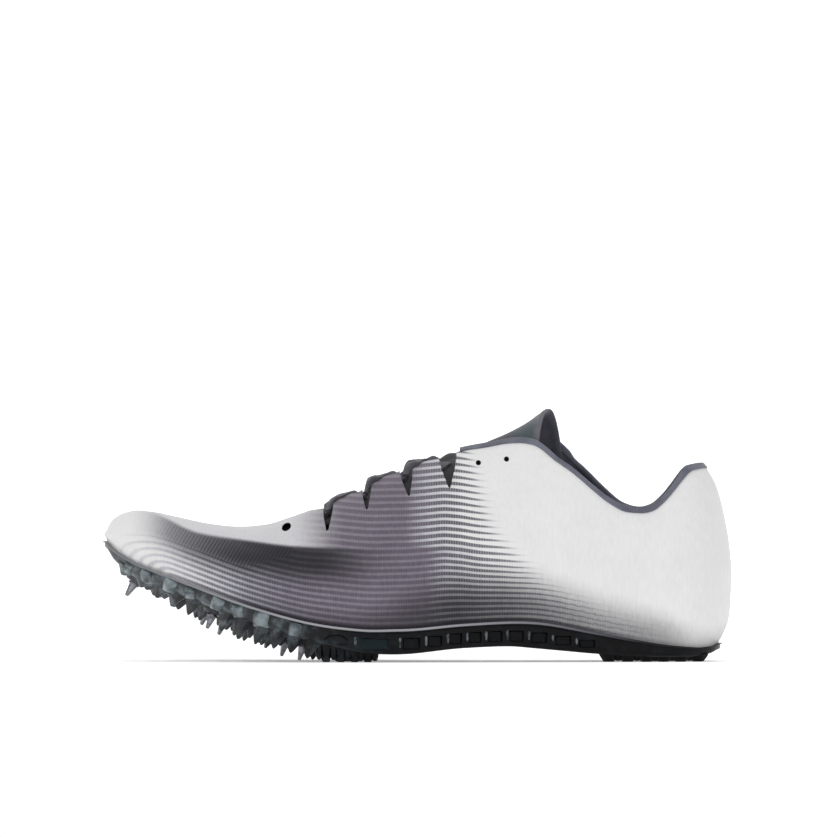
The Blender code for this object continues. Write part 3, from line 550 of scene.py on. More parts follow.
class Shell:
    """Points and faces of a mesh made up of several closed forms."""

    def __init__(self):
        self.points = []
        self.faces = []

    def add(self, points):
        start = len(self.points)
        self.points += [Vector(p) for p in points]
        return list(range(start, len(self.points)))

    def sweep(self, rings):
        """Closed tube through rings of equal size, its ends capped."""
        numbers = [self.add(ring) for ring in rings]
        count = len(rings[0])
        for a, b in zip(numbers, numbers[1:]):
            for i in range(count):
                j = (i + 1) % count
                self.faces.append((a[i], a[j], b[j], b[i]))
        self.faces.append(tuple(reversed(numbers[0])))
        self.faces.append(tuple(numbers[-1]))

    def lathe(self, foot, axis, profile, sides):
        """Turned form about an axis from reach and radius pairs."""
        along, across = cross_axes(axis)
        self.sweep([circle(foot + axis * reach, along, across, radius, sides) for reach, radius in profile])

    def stud(self, foot, axis, profile, turn, corner=0.62):
        """Four-sided stud with softened corners, from reach and half width pairs along an axis."""
        along, across = cross_axes(axis)
        rings = []
        for reach, half in profile:
            ring = []
            for n in range(4):
                for lean in (-1, 1):
                    angle = turn + math.pi / 2 * n + lean * (1 - corner) * math.pi / 4
                    spoke = along * math.cos(angle) + across * math.sin(angle)
                    ring.append(foot + axis * reach + spoke * half)
            rings.append(ring)
        self.sweep(rings)


# Fields on the upper that its relief and its print share

CREASES = (
    # x, height, lean, length, width, depth
    (-0.0830, 0.0560, -0.35, 0.0160, 0.0035, 0.00045),
    (-0.0700, 0.0500, -0.30, 0.0140, 0.0030, 0.00035),
    (-0.0560, 0.0430, -0.20, 0.0150, 0.0032, 0.00030),
    (0.0550, 0.0600, 1.35, 0.0180, 0.0045, 0.00040),
    (0.0700, 0.0470, 1.25, 0.0160, 0.0050, 0.00040),
    (0.0880, 0.0500, 1.45, 0.0140, 0.0040, 0.00035),
    (0.1050, 0.0440, 1.60, 0.0180, 0.0045, 0.00035),
)

STATIONS = np.linspace(0.0, 1.0, 401)
LIP_X = STATIONS * PLATE_LENGTH + SHIFT.x
LIP_Z = np.array([lip_height(station) for station in STATIONS])
CURVE_X = np.linspace(-0.14, 0.14, 141)


def column(table, index):
    """One column of a table."""
    return [row[index] for row in table]


def curve(table, index, x):
    """Values of a table's column at many x, on the same smooth curve as read's."""
    return np.interp(x, CURVE_X, [read(table, index, key) for key in CURVE_X])


def upper_fields(x, z):
    """Fields of print and relief: rib (count from the lip), strength and dark (of the grooves), band (height
    over the field line), rise (height over the lip), hatch (share of the weave) and shade (light left)."""
    rise = z - np.interp(x, LIP_X, LIP_Z)
    ahead = np.maximum(RIB_TOE_X - x, 0.0) * RIB_TOE_STRETCH
    reach = np.hypot(np.maximum(rise, 0.0), ahead)
    eleventh = curve(RIBS, 1, x)
    over = RIB_COUNT + (reach - eleventh) / RIB_PITCH
    rib = np.where(reach < eleventh, RIB_COUNT * reach / eleventh, over)
    band = z - curve(FIELD_LINE, 1, x)
    end = np.interp(z, column(RIB_END, 0), column(RIB_END, 1))
    fade = np.interp(z, column(RIB_END, 0), column(RIB_END, 2))
    limit = RIB_REACH + sum(gain * ease(x, first, full) for gain, first, full in RIB_REACH_STEPS)
    outside = ease(reach, limit + RIB_BORDER[0], limit + RIB_BORDER[1])
    ribbed = (1 - outside) * ease(x, *RIB_FIRST_X)
    bare_vamp = ease(band, -0.001, 0.001) * (1 - ease(x, *BARE_VAMP_X))
    strength = ribbed * (1 - ease(x, end - fade, end)) * (1 - bare_vamp)
    above = ease(band, -0.0008, 0.0010)
    dark = curve(RIB_DARK, 1, x - 0.004 + 0.014 * above)
    dark = np.sin(math.pi / 2 * dark * (0.35 + 0.65 * strength)) ** 2
    hatch = outside * (1 - ease(x, *HATCH_LAST_X)) * ease(x, *HATCH_FIRST_X)
    hatch = hatch * (1 - ease(band, -0.0012, 0.0006))
    lip, start, end = (curve(LIP_SHADE, n, x) for n in (1, 2, 3))
    line = curve(LINE_SHADE, 1, x)
    # Painted shade: darker beside the plate's lip, in a thin line just above the lip, and below the field
    # line.
    lip_seam_shade = SEAM_SHADE * (1 - ease(rise, 0.0004, 0.0018))
    lip_seam_shade = lip_seam_shade * ease(x, -0.090, -0.060) * (1 - ease(x, 0.070, 0.100))
    shade = (lip + (1 - lip) * ease(rise, start, end)) * (1 - lip_seam_shade)
    shade = shade * (line + (1 - line) * np.maximum(ease(-band, 0.007, 0.019), ease(band, -0.0008, 0.0010)))
    return {
        "rib": rib, "strength": strength, "dark": dark, "band": band,
        "rise": rise, "hatch": hatch, "shade": shade,
    }


def crease(x, z, centre, lean, length, width, depth):
    """Soft trough seen from the side: depth at its middle line, fading over its length and width."""
    along = (x - centre[0]) * math.cos(lean) + (z - centre[1]) * math.sin(lean)
    aside = -(x - centre[0]) * math.sin(lean) + (z - centre[1]) * math.cos(lean)
    return -depth * np.exp(-(along / length) ** 2 - (aside / width) ** 2)


def upper_relief(x, z):
    """Height of the raised ribs and of the soft creases over the plain upper."""
    fields = upper_fields(x, z)
    toe = 1 + 0.9 * (1 - ease(x, -0.115, -0.080))
    wave = 0.5 + 0.5 * np.cos(2 * math.pi * fields["rib"])
    clear = ease(fields["rise"], 0.0006, 0.0016)
    relief = RIB_HEIGHT * toe * fields["strength"] * wave * clear
    for row in CREASES:
        relief += crease(x, z, row[:2], *row[2:]) * ease(fields["rise"], 0.002, 0.010)
    return relief


def store_fields(mesh, names):
    """Keeps the fields as numbers on the points, for the material."""
    spots = np.zeros(len(mesh.vertices) * 3)
    mesh.vertices.foreach_get("co", spots)
    spots = spots.reshape(-1, 3)
    fields = upper_fields(spots[:, 0], spots[:, 2])
    for name in names:
        attribute = mesh.attributes.new(name, "FLOAT", "POINT")
        attribute.data.foreach_set("value", fields[name].astype(np.float32))


# Upper

BINDING_WRAP = 0.0008
BINDING_SOFT = 0.0011
NOTCH_BOW = 0.0005
# Share of the plate's length on each side of a notch's tip where its foot is rounded
NOTCH_FOOT = 0.0016
NOTCH_FOOT_ROUND = 0.0003
CUTTER_TOP = 0.012
CUTTER_REACH = (0.001, 0.036)
MEDIAL_HOLE_SHIFT = 0.0045
HOLES = (
    # x, height, radius, stretch and lean of the two spare lace holes and the front one, seen from the side
    (0.0271, 0.0871, 0.00115, 1.0, 0.0),
    (0.0394, 0.0887, 0.00115, 1.0, 0.0),
    (-0.0570, 0.0590, 0.00165, 1.35, 0.6),
)


def upper_line(t, side):
    """Points of the upper's outer face from its foot to its top line, evenly spaced."""
    section = half_section(t, side)
    reach, widest, power = section["reach"], section["widest"], section["power"]
    start = section["lip"] + 0.0002
    share = np.linspace(0.0, 1.0, 30)
    widths = reach + (widest - reach) * (1 - (1 - share) ** 2)
    heights = start + (section["level"] - start) * share
    last = math.acos(min((section["edge"] / widest) ** (power / 2), 1.0)) if widest > 1e-6 else math.pi / 2
    angles = np.linspace(0.0, last, 90)[1:]
    widths = np.append(widths, widest * np.maximum(np.cos(angles), 0.0) ** (2 / power))
    lifts = (section["crest"] - section["level"]) * np.sin(angles) ** (2 / power)
    heights = np.append(heights, section["level"] + lifts)
    run = np.append(0.0, np.cumsum(np.hypot(np.diff(widths), np.diff(heights))))
    even = np.linspace(0.0, run[-1], UPPER_ROWS)
    line = [place(section, reach, bed_height(section["station"]) + GAP)]
    for width, height in zip(np.interp(even, run, widths), np.interp(even, run, heights)):
        line.append(place(section, width, height))
    return line


def upper_parameters():
    """Even parameters of the upper's columns, with the throat's and binding's starts among them."""
    marks = [THROAT_START + THROAT_ROUND * share for share in (0.0, 0.02, 0.08, 0.2)] + [BINDING_START]
    values = [even_parameter(mark) for mark in marks]
    for n in range(UPPER_COLUMNS + 1):
        value = n / UPPER_COLUMNS
        if min(abs(value - other) for other in values) > 0.25 / UPPER_COLUMNS:
            values.append(value)
    return sorted(values)


def normals_of(points, faces):
    """Normals at the points of a mesh."""
    mesh = bpy.data.meshes.new("probe")
    mesh.from_pydata([tuple(p) for p in points], [], faces)
    values = np.zeros(len(points) * 3)
    mesh.vertices.foreach_get("normal", values)
    bpy.data.meshes.remove(mesh)
    return values.reshape(-1, 3)


def upper_form():
    """Outer points, normals, columns of point numbers and parameters of the plain upper."""
    parameters = upper_parameters()
    points = []
    columns = {LATERAL: [], MEDIAL: []}
    for n, t in enumerate(parameters):
        tip = n in (0, len(parameters) - 1)
        closed = tip or remap(t) <= THROAT_START + 1e-6
        for side in (LATERAL, MEDIAL):
            if tip and side == MEDIAL:
                columns[MEDIAL].append(columns[LATERAL][-1])
                continue
            line = upper_line(t, side)
            numbers = list(range(len(points), len(points) + len(line)))
            if closed and side == MEDIAL:
                numbers[-1] = columns[LATERAL][-1][-1]
                line = line[:-1]
            points += line
            columns[side].append(numbers)
    faces = strip_faces(columns[LATERAL]) + strip_faces(columns[MEDIAL], flip=True)
    return np.array(points), normals_of(points, faces), columns, parameters


def build_upper(form):
    """Ribbed outer skin, lining and rims as one closed shell, with its notches and holes cut."""
    plain, normals, columns, parameters = form
    relief = upper_relief(plain[:, 0] + SHIFT.x, plain[:, 2])
    points = list(plain + normals * relief[:, None])
    rows = [0] + list(range(1, UPPER_ROWS, LINING_STEP)) + [UPPER_ROWS]
    lining = {}
    inner = {LATERAL: [], MEDIAL: []}
    for side in (LATERAL, MEDIAL):
        for numbers in columns[side]:
            line = []
            for row in rows:
                index = numbers[row]
                if index not in lining:
                    lining[index] = len(points)
                    points.append(plain[index] - normals[index] * WALL)
                line.append(lining[index])
            inner[side].append(line)
    outside = strip_faces(columns[LATERAL]) + strip_faces(columns[MEDIAL], flip=True)
    inside = strip_faces(inner[LATERAL], flip=True) + strip_faces(inner[MEDIAL])
    rims = []
    for side in (LATERAL, MEDIAL):
        outer, within = columns[side], inner[side]
        for n in range(len(parameters) - 1):
            open_top = remap(parameters[n]) > THROAT_START - 1e-6
            for end in (0, -1) if open_top else (0,):
                rims.append((outer[n][end], outer[n + 1][end], within[n + 1][end], within[n][end]))
    upper = new_object("upper_skin", points, outside + inside + rims)
    kinds = [0] * len(outside) + [1] * len(inside) + [0] * len(rims)
    upper.data.polygons.foreach_set("material_index", kinds)
    cut(upper, notch_cutter())
    upper.data.set_sharp_from_angle(angle=math.radians(50))
    store_fields(upper.data, ("rib", "strength", "dark", "band", "hatch", "shade"))
    return upper


def notch_cutter():
    """Lace notches with softly curved sides, the front lace holes and the two spare holes."""
    shell = Shell()
    for front, back, tip, depth in NOTCHES:
        low = top_height(tip, LATERAL) - depth * INSTEP_HEIGHT
        high = top_height(back, LATERAL) + CUTTER_TOP
        front_top = top_height(front, LATERAL)
        back_top = top_height(back, LATERAL) - 0.1 * depth * INSTEP_HEIGHT
        shape = [(front * PLATE_LENGTH, high), (back * PLATE_LENGTH, high), (back * PLATE_LENGTH, back_top)]
        for share in (0.35, 0.7):
            x = (back + (tip - back) * share) * PLATE_LENGTH + NOTCH_BOW * math.sin(math.pi * share)
            shape.append((x, back_top + (low - back_top) * share))
        for run, rise in ((NOTCH_FOOT, NOTCH_FOOT_ROUND), (0.0, 0.0), (-NOTCH_FOOT, NOTCH_FOOT_ROUND)):
            shape.append(((tip + run) * PLATE_LENGTH, low + rise))
        for share in (0.7, 0.35):
            x = (front + (tip - front) * share) * PLATE_LENGTH - NOTCH_BOW * math.sin(math.pi * share)
            shape.append((x, front_top + (low - front_top) * share))
        shape.append((front * PLATE_LENGTH, front_top))
        cut_through(shell, shape, tip)
    for x, z, radius, stretch, lean in HOLES:
        shape = []
        for n in range(16):
            angle = 2 * math.pi * n / 16
            along, up = math.cos(angle) * radius * stretch, math.sin(angle) * radius
            forth = along * math.cos(lean) - up * math.sin(lean)
            rise = along * math.sin(lean) + up * math.cos(lean)
            shape.append((x - SHIFT.x + forth, z + rise))
        cut_through(shell, shape, (x - SHIFT.x) / PLATE_LENGTH, MEDIAL_HOLE_SHIFT)
    return new_object("cutter", shell.points, shell.faces)


def cut_through(shell, shape, station, medial_shift=0.0):
    """Prism of a shape seen from the side, on each side of the ridge, moved along on the medial one."""
    middle = read(PLAN, 3, station) * BALL_WIDTH
    for side, shift in ((LATERAL, 0.0), (MEDIAL, medial_shift)):
        depths = [middle + side * reach for reach in CUTTER_REACH]
        shell.sweep([[(x + shift, y, z) for x, z in shape] for y in depths])


def build_binding(form):
    """Soft rounded band that continues the upper's edge round the collar."""
    points, normals, columns, parameters = form
    frames = []
    for side in (LATERAL, MEDIAL):
        run = []
        for t, numbers in zip(parameters, columns[side]):
            if remap(t) >= BINDING_START - 1e-4:
                edge, below = Vector(points[numbers[-1]]), Vector(points[numbers[-3]])
                normal = Vector(normals[numbers[-1]])
                up = edge - below
                up -= normal * up.dot(normal)
                run.append((edge, normal, up.normalized()))
        frames += run if side == LATERAL else list(reversed(run))[1:]
    middle = -WALL / 2
    half = WALL / 2 + BINDING_PROUD
    shoulder = BINDING_HEIGHT - BINDING_SOFT
    shape = [(middle + half, -BINDING_WRAP), (middle + half, shoulder)]
    for n in range(1, 8):
        angle = math.pi * n / 8
        shape.append((middle + half * math.cos(angle), shoulder + BINDING_SOFT * math.sin(angle)))
    shape += [(middle - half, shoulder), (middle - half, -BINDING_WRAP)]
    shell = Shell()
    shell.sweep([[spot + normal * out + up * high for out, high in shape] for spot, normal, up in frames])
    return new_object("collar_binding_skin", shell.points, shell.faces, 50)


# Tongue, lace and insole

TONGUE_PUFF = 0.0010
PUFF_LENGTH = 0.013
TONGUE_LENGTH = 0.115
TONGUE_HALF_WIDTH = 0.022
TONGUE_EDGE = 0.0012
CHANNEL_DEPTH = 0.22
CHANNEL_INSET = 0.0040
CHANNEL_WIDTH = 0.0006
NOTCH_FILL = 0.72
LACE_LIFT = -0.0001
LACE_UNDER = -0.0019
LACE_SAG = -0.0016
LACE_HUMPS = (0.0006, 0.0019, 0.0017)
LACE_HUMP_AT = 0.13
LACE_HUMP_WIDTH = 0.10
LACE_PLUNGE = (0.85, 0.99)
LACE_NARROWING = (0.64, 0.88)
LACE_GOES_UNDER = (0.60, 0.76)


def tongue_point(share, across, depth):
    """Point of the tongue: share along it, -1 to 1 across it, and depth under its outer face."""
    end = TONGUE_TIP + TONGUE_SKEW * across + TONGUE_FLARE * across * across
    station = TONGUE_START + share * (end - TONGUE_START)
    t = even_parameter(station)
    width = read(TONGUE_WIDTHS, 1, station) * BALL_WIDTH * across
    lift = -WALL - TONGUE_DROP - depth
    crest = read(TONGUE_RISE, 1, station) * INSTEP_HEIGHT - lift - depth
    return arch_point(t, width, lift, crest)


def tongue_puff(spot):
    """How far the padded tongue swells up between the flaps."""
    station = spot.x / PLATE_LENGTH
    middle = read(PLAN, 3, station) * BALL_WIDTH
    inside = 1 - min(abs(spot.y - middle) / max(0.9 * opening(station), 0.007), 1.0) ** 2
    near = [math.exp(-((station - (front + back) / 2) / PUFF_LENGTH) ** 2) for front, back, _, _ in NOTCHES]
    laced = (1.0 + 1.4 * max(near)) * ease(station, 0.345, 0.362) * (1 - ease(station, 0.560, 0.600))
    front = 1.5 * (1 - ease(station, 0.315, 0.338))
    return TONGUE_PUFF * inside ** 2 * (laced + front)


def build_tongue():
    """Padded tongue with rounded edges and a shallow channel along its border."""
    along, wide = 90, 36
    points = []
    sheets = []
    for face in (0, 1):
        sheet = []
        for i in range(along + 1):
            row = []
            for j in range(wide + 1):
                share, across = i / along, 2 * j / wide - 1
                from_end = min(i, along - i) / along * TONGUE_LENGTH
                border = min(from_end, (1 - abs(across)) * TONGUE_HALF_WIDTH)
                full = math.sqrt(1 - (1 - min(border / TONGUE_EDGE, 1.0)) ** 2)
                channel = CHANNEL_DEPTH * math.exp(-((border - CHANNEL_INSET) / CHANNEL_WIDTH) ** 2)
                half = TONGUE_THICKNESS / 2 * max(full - channel, 0.02)
                depth = TONGUE_THICKNESS / 2 + (half if face else -half)
                spot = tongue_point(share, across, depth)
                spot.z += tongue_puff(spot)
                row.append(len(points))
                points.append(spot)
            sheet.append(row)
        sheets.append(sheet)
    faces, outer_count = closed_sheets(sheets)
    tongue = new_object("tongue_skin", points, faces, 60)
    kinds = [0] * outer_count + [1] * (len(faces) - outer_count)
    tongue.data.polygons.foreach_set("material_index", kinds)
    return tongue


def notch_spot(index, side, share, lift):
    """Point in a notch: share of its depth below the top line, lifted off the upper's face."""
    front, back, tip, depth = NOTCHES[index]
    station = (front + back) / 2 * (1 - share) + tip * share
    t = even_parameter(station)
    section = half_section(t, side)
    height = top_height(station, side) - share * depth * INSTEP_HEIGHT
    rise = (height - section["level"]) / (section["crest"] - section["level"])
    width = section["widest"] * (1 - rise ** section["power"]) ** (1 / section["power"])
    return arch_point(t, side * width, lift)


def lace_stretch(shell, start, end, hump):
    """Flat woven stretch between two notches: out of the first, humped over the flap behind it, slack over
    the tongue and under the other flap to the second. Without a hump both its ends go under the flaps."""
    a = notch_spot(*start, 0.18, 0.0)
    b = notch_spot(*end, 0.18, 0.0)
    over = LACE_LIFT + LACE_THICKNESS / 2
    spots = []
    count = 56
    for n in range(count + 1):
        share = n / count
        x = a.x + (b.x - a.x) * share
        station = x / PLATE_LENGTH
        t = even_parameter(station)
        across = a.y + (b.y - a.y) * share - half_section(t, LATERAL)["ridge"].y
        out = abs(2 * share - 1)
        dip = ease(out, *LACE_PLUNGE)
        narrow = ease(out, *LACE_NARROWING)
        inside = 1 - min((abs(across) + 0.6 * LACE_WIDTH) / opening(station), 1.0) ** 2
        below = ease(share, *LACE_GOES_UNDER)
        if hump == 0.0:
            below = max(below, ease(1 - share, *LACE_GOES_UNDER))
        lie = over + (LACE_UNDER - over) * below
        lift = lie + (LACE_SAG - lie) * inside - dip * (lie + LACE_DIP) * (1 - below)
        swell = hump * math.exp(-((share - LACE_HUMP_AT) / LACE_HUMP_WIDTH) ** 2)
        spot = arch_point(t, across, lift + swell / 2)
        front, back = NOTCHES[(start if share < 0.5 else end)[0]][:2]
        end_width = NOTCH_FILL * (back - front) * PLATE_LENGTH
        width = LACE_WIDTH + (end_width - LACE_WIDTH) * narrow
        thick = (LACE_THICKNESS + swell) / 2
        spots.append((Vector((x, spot.y, spot.z)), arch_normal(t, across), width / 2, thick))
    rings = []
    for n, (spot, normal, half, thick) in enumerate(spots):
        along = (spots[min(n + 1, count)][0] - spots[max(n - 1, 0)][0]).normalized()
        flat = along.cross(normal).normalized()
        up = flat.cross(along).normalized()
        ring = []
        for k in range(16):
            angle = 2 * math.pi * k / 16
            wide = math.copysign(abs(math.cos(angle)) ** 0.45, math.cos(angle))
            high = math.copysign(abs(math.sin(angle)) ** 0.8, math.sin(angle))
            ring.append(spot + flat * wide * half + up * high * thick)
        rings.append(ring)
    shell.sweep(rings)


def build_lace():
    """Lace lying in crosses over the throat, one bar at its front."""
    shell = Shell()
    lace_stretch(shell, (0, LATERAL), (0, MEDIAL), 0.0)
    for n, hump in enumerate(LACE_HUMPS):
        lace_stretch(shell, (n, LATERAL), (n + 1, MEDIAL), hump)
        lace_stretch(shell, (n, MEDIAL), (n + 1, LATERAL), hump)
    return new_object("lace_run", shell.points, shell.faces, 60)


def build_insole():
    """Liner on the plate's bed, its top dished towards the edge."""
    inset = RIM + GAP + WALL + GAP
    count, wide = 120, 24
    points = []
    sheets = []
    for top in (0, 1):
        sheet = []
        for n in range(count + 1):
            t = n / count
            left = outline(t, LATERAL, inset)
            right = outline(t, MEDIAL, inset)
            base = bed_height(remap(t)) + GAP
            row = []
            for j in range(wide + 1):
                share = j / wide
                edge = 1 - abs(2 * share - 1)
                soft = 1 - 0.5 * (1 - min(edge / 0.08, 1.0)) ** 2
                spot = left.lerp(right, share)
                row.append(len(points))
                points.append((spot.x, spot.y, base + (INSOLE_THICKNESS * soft if top else 0.0)))
            sheet.append(row)
        sheets.append(sheet)
    return new_object("insole_skin", points, closed_sheets(sheets)[0])


# Plate and pins

def plate_ring(t):
    """Insets and heights from the bed over the rim to the underside, then the bed's and keel's heights."""
    station = remap(t)
    under = under_height(station)
    side = read(PROFILE, 3, station) * SIDE_HEIGHT
    lip = lip_height(station)
    bed = bed_height(station)
    tuck = TUCK * read(PROFILE, 4, station)
    crown = CROWN * read(PROFILE, 5, station)
    rows = [(RIM, bed), (RIM, lip - RIM_ROUND), (RIM - 0.5 * RIM_ROUND, lip), (RIM_ROUND, lip)]
    rows += [(0.3 * RIM_ROUND, lip - 0.012 * side), (0.0, lip - 0.04 * side), (0.0, lip - 0.11 * side)]
    rows += [(0.15 * SIDE_STEP, lip - 0.14 * side), (0.8 * SIDE_STEP, lip - 0.175 * side)]
    rows += [(SIDE_STEP, lip - 0.21 * side), (SIDE_STEP, under + 0.42 * side)]
    rows += [(SIDE_STEP + 0.12 * tuck, under + 0.26 * side), (SIDE_STEP + 0.35 * tuck, under + 0.12 * side)]
    rows.append((SIDE_STEP + 0.65 * tuck, under + 0.02 * side - 0.05 * crown))
    rows.append((SIDE_STEP + tuck, under - 0.15 * crown))
    return rows, bed, under - crown


def plate_underside(station, across):
    """Point of the plate's underside, across from -1 at the lateral to 1 at the medial side."""
    t = even_parameter(station)
    side = LATERAL if across < 0 else MEDIAL
    rows, _, low = plate_ring(t)
    corner = outline(t, side, rows[-1][0])
    other = outline(t, -side, rows[-1][0])
    middle = (corner + other) / 2
    spot = middle + (corner - middle) * abs(across)
    height = low + (rows[-1][1] - low) * abs(across) ** 2
    return Vector((spot.x, spot.y, height))


def underside_normal(station, across):
    """Direction straight down from the underside at a point."""
    step = 0.01
    along = plate_underside(station + step, across) - plate_underside(station - step, across)
    wide = Vector((0, 1, 0))
    if abs(across) > 0.05:
        wide = plate_underside(station, across) - plate_underside(station, across * 0.9)
    normal = along.cross(wide).normalized()
    return -normal if normal.z > 0 else normal


def plate_body():
    """Plate with its upturned rim, cut by the hollows of its side."""
    points = []
    columns = {LATERAL: [], MEDIAL: []}
    inner_shares = (0.8, 0.6, 0.4, 0.2)
    for n in range(PLATE_COLUMNS + 1):
        t = n / PLATE_COLUMNS
        rows, bed, low = plate_ring(t)
        ends = {side: [outline(t, side, inset) for inset, _ in rows] for side in (LATERAL, MEDIAL)}
        heights = [height for _, height in rows]
        top = (ends[LATERAL][0] + ends[MEDIAL][0]) / 2
        base = (ends[LATERAL][-1] + ends[MEDIAL][-1]) / 2
        tip = n in (0, PLATE_COLUMNS)
        first = len(points)
        if tip:
            points += [(p.x, p.y, z) for p, z in zip(ends[LATERAL], heights)]
            numbers = list(range(first, len(points)))
            line = [numbers[0]] + numbers + [numbers[-1]] * (len(inner_shares) + 1)
            columns[LATERAL].append(line)
            columns[MEDIAL].append(line)
            continue
        points += [(top.x, top.y, bed), (base.x, base.y, low)]
        for side in (LATERAL, MEDIAL):
            start = len(points)
            points += [(p.x, p.y, z) for p, z in zip(ends[side], heights)]
            for share in inner_shares:
                spot = base + (ends[side][-1] - base) * share
                points.append((spot.x, spot.y, low + (heights[-1] - low) * share ** 2))
            columns[side].append([first] + list(range(start, len(points))) + [first + 1])
    faces = strip_faces(columns[LATERAL]) + strip_faces(columns[MEDIAL], flip=True)
    body = new_object("spike_plate_skin", points, faces, 34)
    cut(body, hollow_cutter())
    return body


def side_frame(station, side, inset):
    """Spot in plan on the plate's side, and the directions along and out of the side there."""
    spot = outline(even_parameter(station), side, inset)
    near = outline(even_parameter(station + 0.01), side, inset)
    along = Vector((near.x - spot.x, near.y - spot.y, 0)).normalized()
    return Vector((spot.x, spot.y, 0)), along, Vector((along.y, -along.x, 0)) * -side


def side_level(station, share):
    """Height of a share of the plate's side at a station."""
    return under_height(station) + share * read(PROFILE, 3, station) * SIDE_HEIGHT


HOLLOW_RINGS = (
    # reach out of the side, growth
    (-1.3 * HOLLOW_DEPTH, 0.78),
    (-0.8 * HOLLOW_DEPTH, 0.92),
    (0.003, 1.2),
)


def hollow_cutter():
    """Tapered hollows along both sides of the plate, the first with an arched top."""
    shell = Shell()
    for station, half, low, high in HOLLOWS:
        middle = (low + high) / 2
        shape = [(-1, low), (1, low), (1, high), (-1, high)]
        if station == HOLLOWS[0][0]:
            brow = 0.45 * low + 0.55 * high
            cheek = 0.2 * brow + 0.8 * high
            shape[2:] = [(1, brow), (0.55, cheek), (0, high), (-0.55, cheek), (-1, brow)]
        for side in (LATERAL, MEDIAL):
            centre, along, outwards = side_frame(station, side, SIDE_STEP)
            rings = []
            for reach, grow in HOLLOW_RINGS:
                ring = []
                for run, level in shape:
                    height = side_level(station, middle + (level - middle) * grow)
                    spot = centre + outwards * reach + along * run * half * grow
                    ring.append(Vector((spot.x, spot.y, height)))
                rings.append(ring)
            shell.sweep(rings)
    return new_object("cutter", shell.points, shell.faces)


FILL_TEETH = (
    # across, first station, last station, count, half base
    (-0.76, 0.045, 0.335, 13, 0.0021),
    (0.76, 0.045, 0.335, 13, 0.0021),
    (-0.26, 0.060, 0.335, 11, 0.0021),
    (0.26, 0.060, 0.335, 11, 0.0021),
)
FILL_LUGS = (
    # across, first station, last station, count, radius
    (-0.90, 0.3500, 0.4437, 5, 0.0014),
    (0.90, 0.3500, 0.4437, 5, 0.0014),
    (-0.84, 0.8301, 0.9509, 5, 0.0018),
    (0.84, 0.8301, 0.9509, 5, 0.0018),
)
STUD_SINK = 0.0008
TOOTH_CLEARANCE = 0.0006
FILL_CLEARANCE = 0.0004
BEAD = 0.00055
SHOULDER_LIFT = 0.0006
SHOULDER_CORNER = 0.88
SHOULDER_PROFILE = (
    # reach, share of the half width
    (-0.0016, 1.5), (0.0004, 1.40), (0.0011, 1.1), (0.0021, 0.55), (0.0023, 0.35),
)
SHOULDERS = (
    # station, half width, turn
    (0.041, 0.0020, 0.70), (0.071, 0.0026, 0.95), (0.110, 0.0028, 0.60), (0.142, 0.0022, 0.85),
    (0.187, 0.0027, 0.55), (0.220, 0.0024, 0.95), (0.258, 0.0033, 0.78), (0.313, 0.0026, 0.70),
)


def side_shoulders():
    """Blocks that stand out of the side between the teeth of the toe."""
    shell = Shell()
    for station, half, turn in SHOULDERS:
        rows, _, _ = plate_ring(even_parameter(station))
        inset, height = rows[-4]
        for side in (LATERAL, MEDIAL):
            spot, _, outwards = side_frame(station, side, inset)
            axis = (outwards * 0.80 + Vector((0, 0, -0.60))).normalized()
            profile = [(reach, half * share) for reach, share in SHOULDER_PROFILE]
            shell.stud(spot + Vector((0, 0, height + SHOULDER_LIFT)), axis, profile, turn, SHOULDER_CORNER)
    return new_object("shoulders", shell.points, shell.faces, 30)


def side_beads():
    """Thin upright ribs on both sides of the plate, one in front of each hollow."""
    shell = Shell()
    for hollow, half, low, high in HOLLOWS[1:]:
        station = hollow - half / PLATE_LENGTH * 1.25
        profile = ((low + 0.10, 0.3), (low + 0.16, 0.9), (high - 0.04, 1.1), (high + 0.02, 0.3))
        for side in (LATERAL, MEDIAL):
            spot, along, outwards = side_frame(station, side, SIDE_STEP)
            rings = []
            for level, size in profile:
                centre = Vector((spot.x, spot.y, side_level(station, level)))
                rings.append(circle(centre, along, outwards, BEAD * size, 8))
            shell.sweep(rings)
    return new_object("beads", shell.points, shell.faces, 30)


def stud_places(table):
    """Station, place across and sizes of each stud, evenly spaced along the rows of a table."""
    for across, first, last, count, *sizes in table:
        for n in range(count):
            yield (first + (last - first) * n / (count - 1), across, *sizes)


def clear_of_pods(foot, reach):
    """Whether a stud of a given reach stays clear of the pin pods."""
    pods = [plate_underside(station, across) for station, across in PINS]
    return min((foot - pod).length for pod in pods) >= POD_RADIUS + reach


def tooth_length(station, foot, normal):
    """Length of a full tooth that ends on the tread's line."""
    return (foot.z - read(TREAD, 1, station) * TOE_SPRING) * -normal.z


def add_teeth(shell):
    """Teeth under the forefoot, and finer ones of uneven length and turn between them."""
    for station, across, half in stud_places(TEETH):
        foot = plate_underside(station, across)
        if clear_of_pods(foot, half + TOOTH_CLEARANCE):
            normal = underside_normal(station, across)
            length = tooth_length(station, foot, normal)
            profile = [(-STUD_SINK, half * 1.62), (0.0001, half * 1.36), (length * 0.25, half * 1.02)]
            profile += [(length * 0.86, half * 0.20 + TOOTH_TIP * 0.86), (length * 0.96, TOOTH_TIP * 1.1)]
            profile.append((length, TOOTH_TIP * 0.45))
            shell.stud(foot, normal, profile, 0.0)
    rough = random.Random(4)
    for station, across, half in stud_places(FILL_TEETH):
        station += rough.uniform(-0.004, 0.004)
        foot = plate_underside(station, across)
        if clear_of_pods(foot, half + FILL_CLEARANCE):
            normal = underside_normal(station, across)
            length = tooth_length(station, foot, normal) * rough.uniform(0.72, 0.92)
            profile = [(-STUD_SINK, half * 1.6), (0.0001, half * 1.36), (length * 0.45, half * 0.95)]
            profile += [(length * 0.92, half * 0.42), (length, half * 0.18)]
            shell.stud(foot, normal, profile, rough.uniform(-0.4, 0.4))


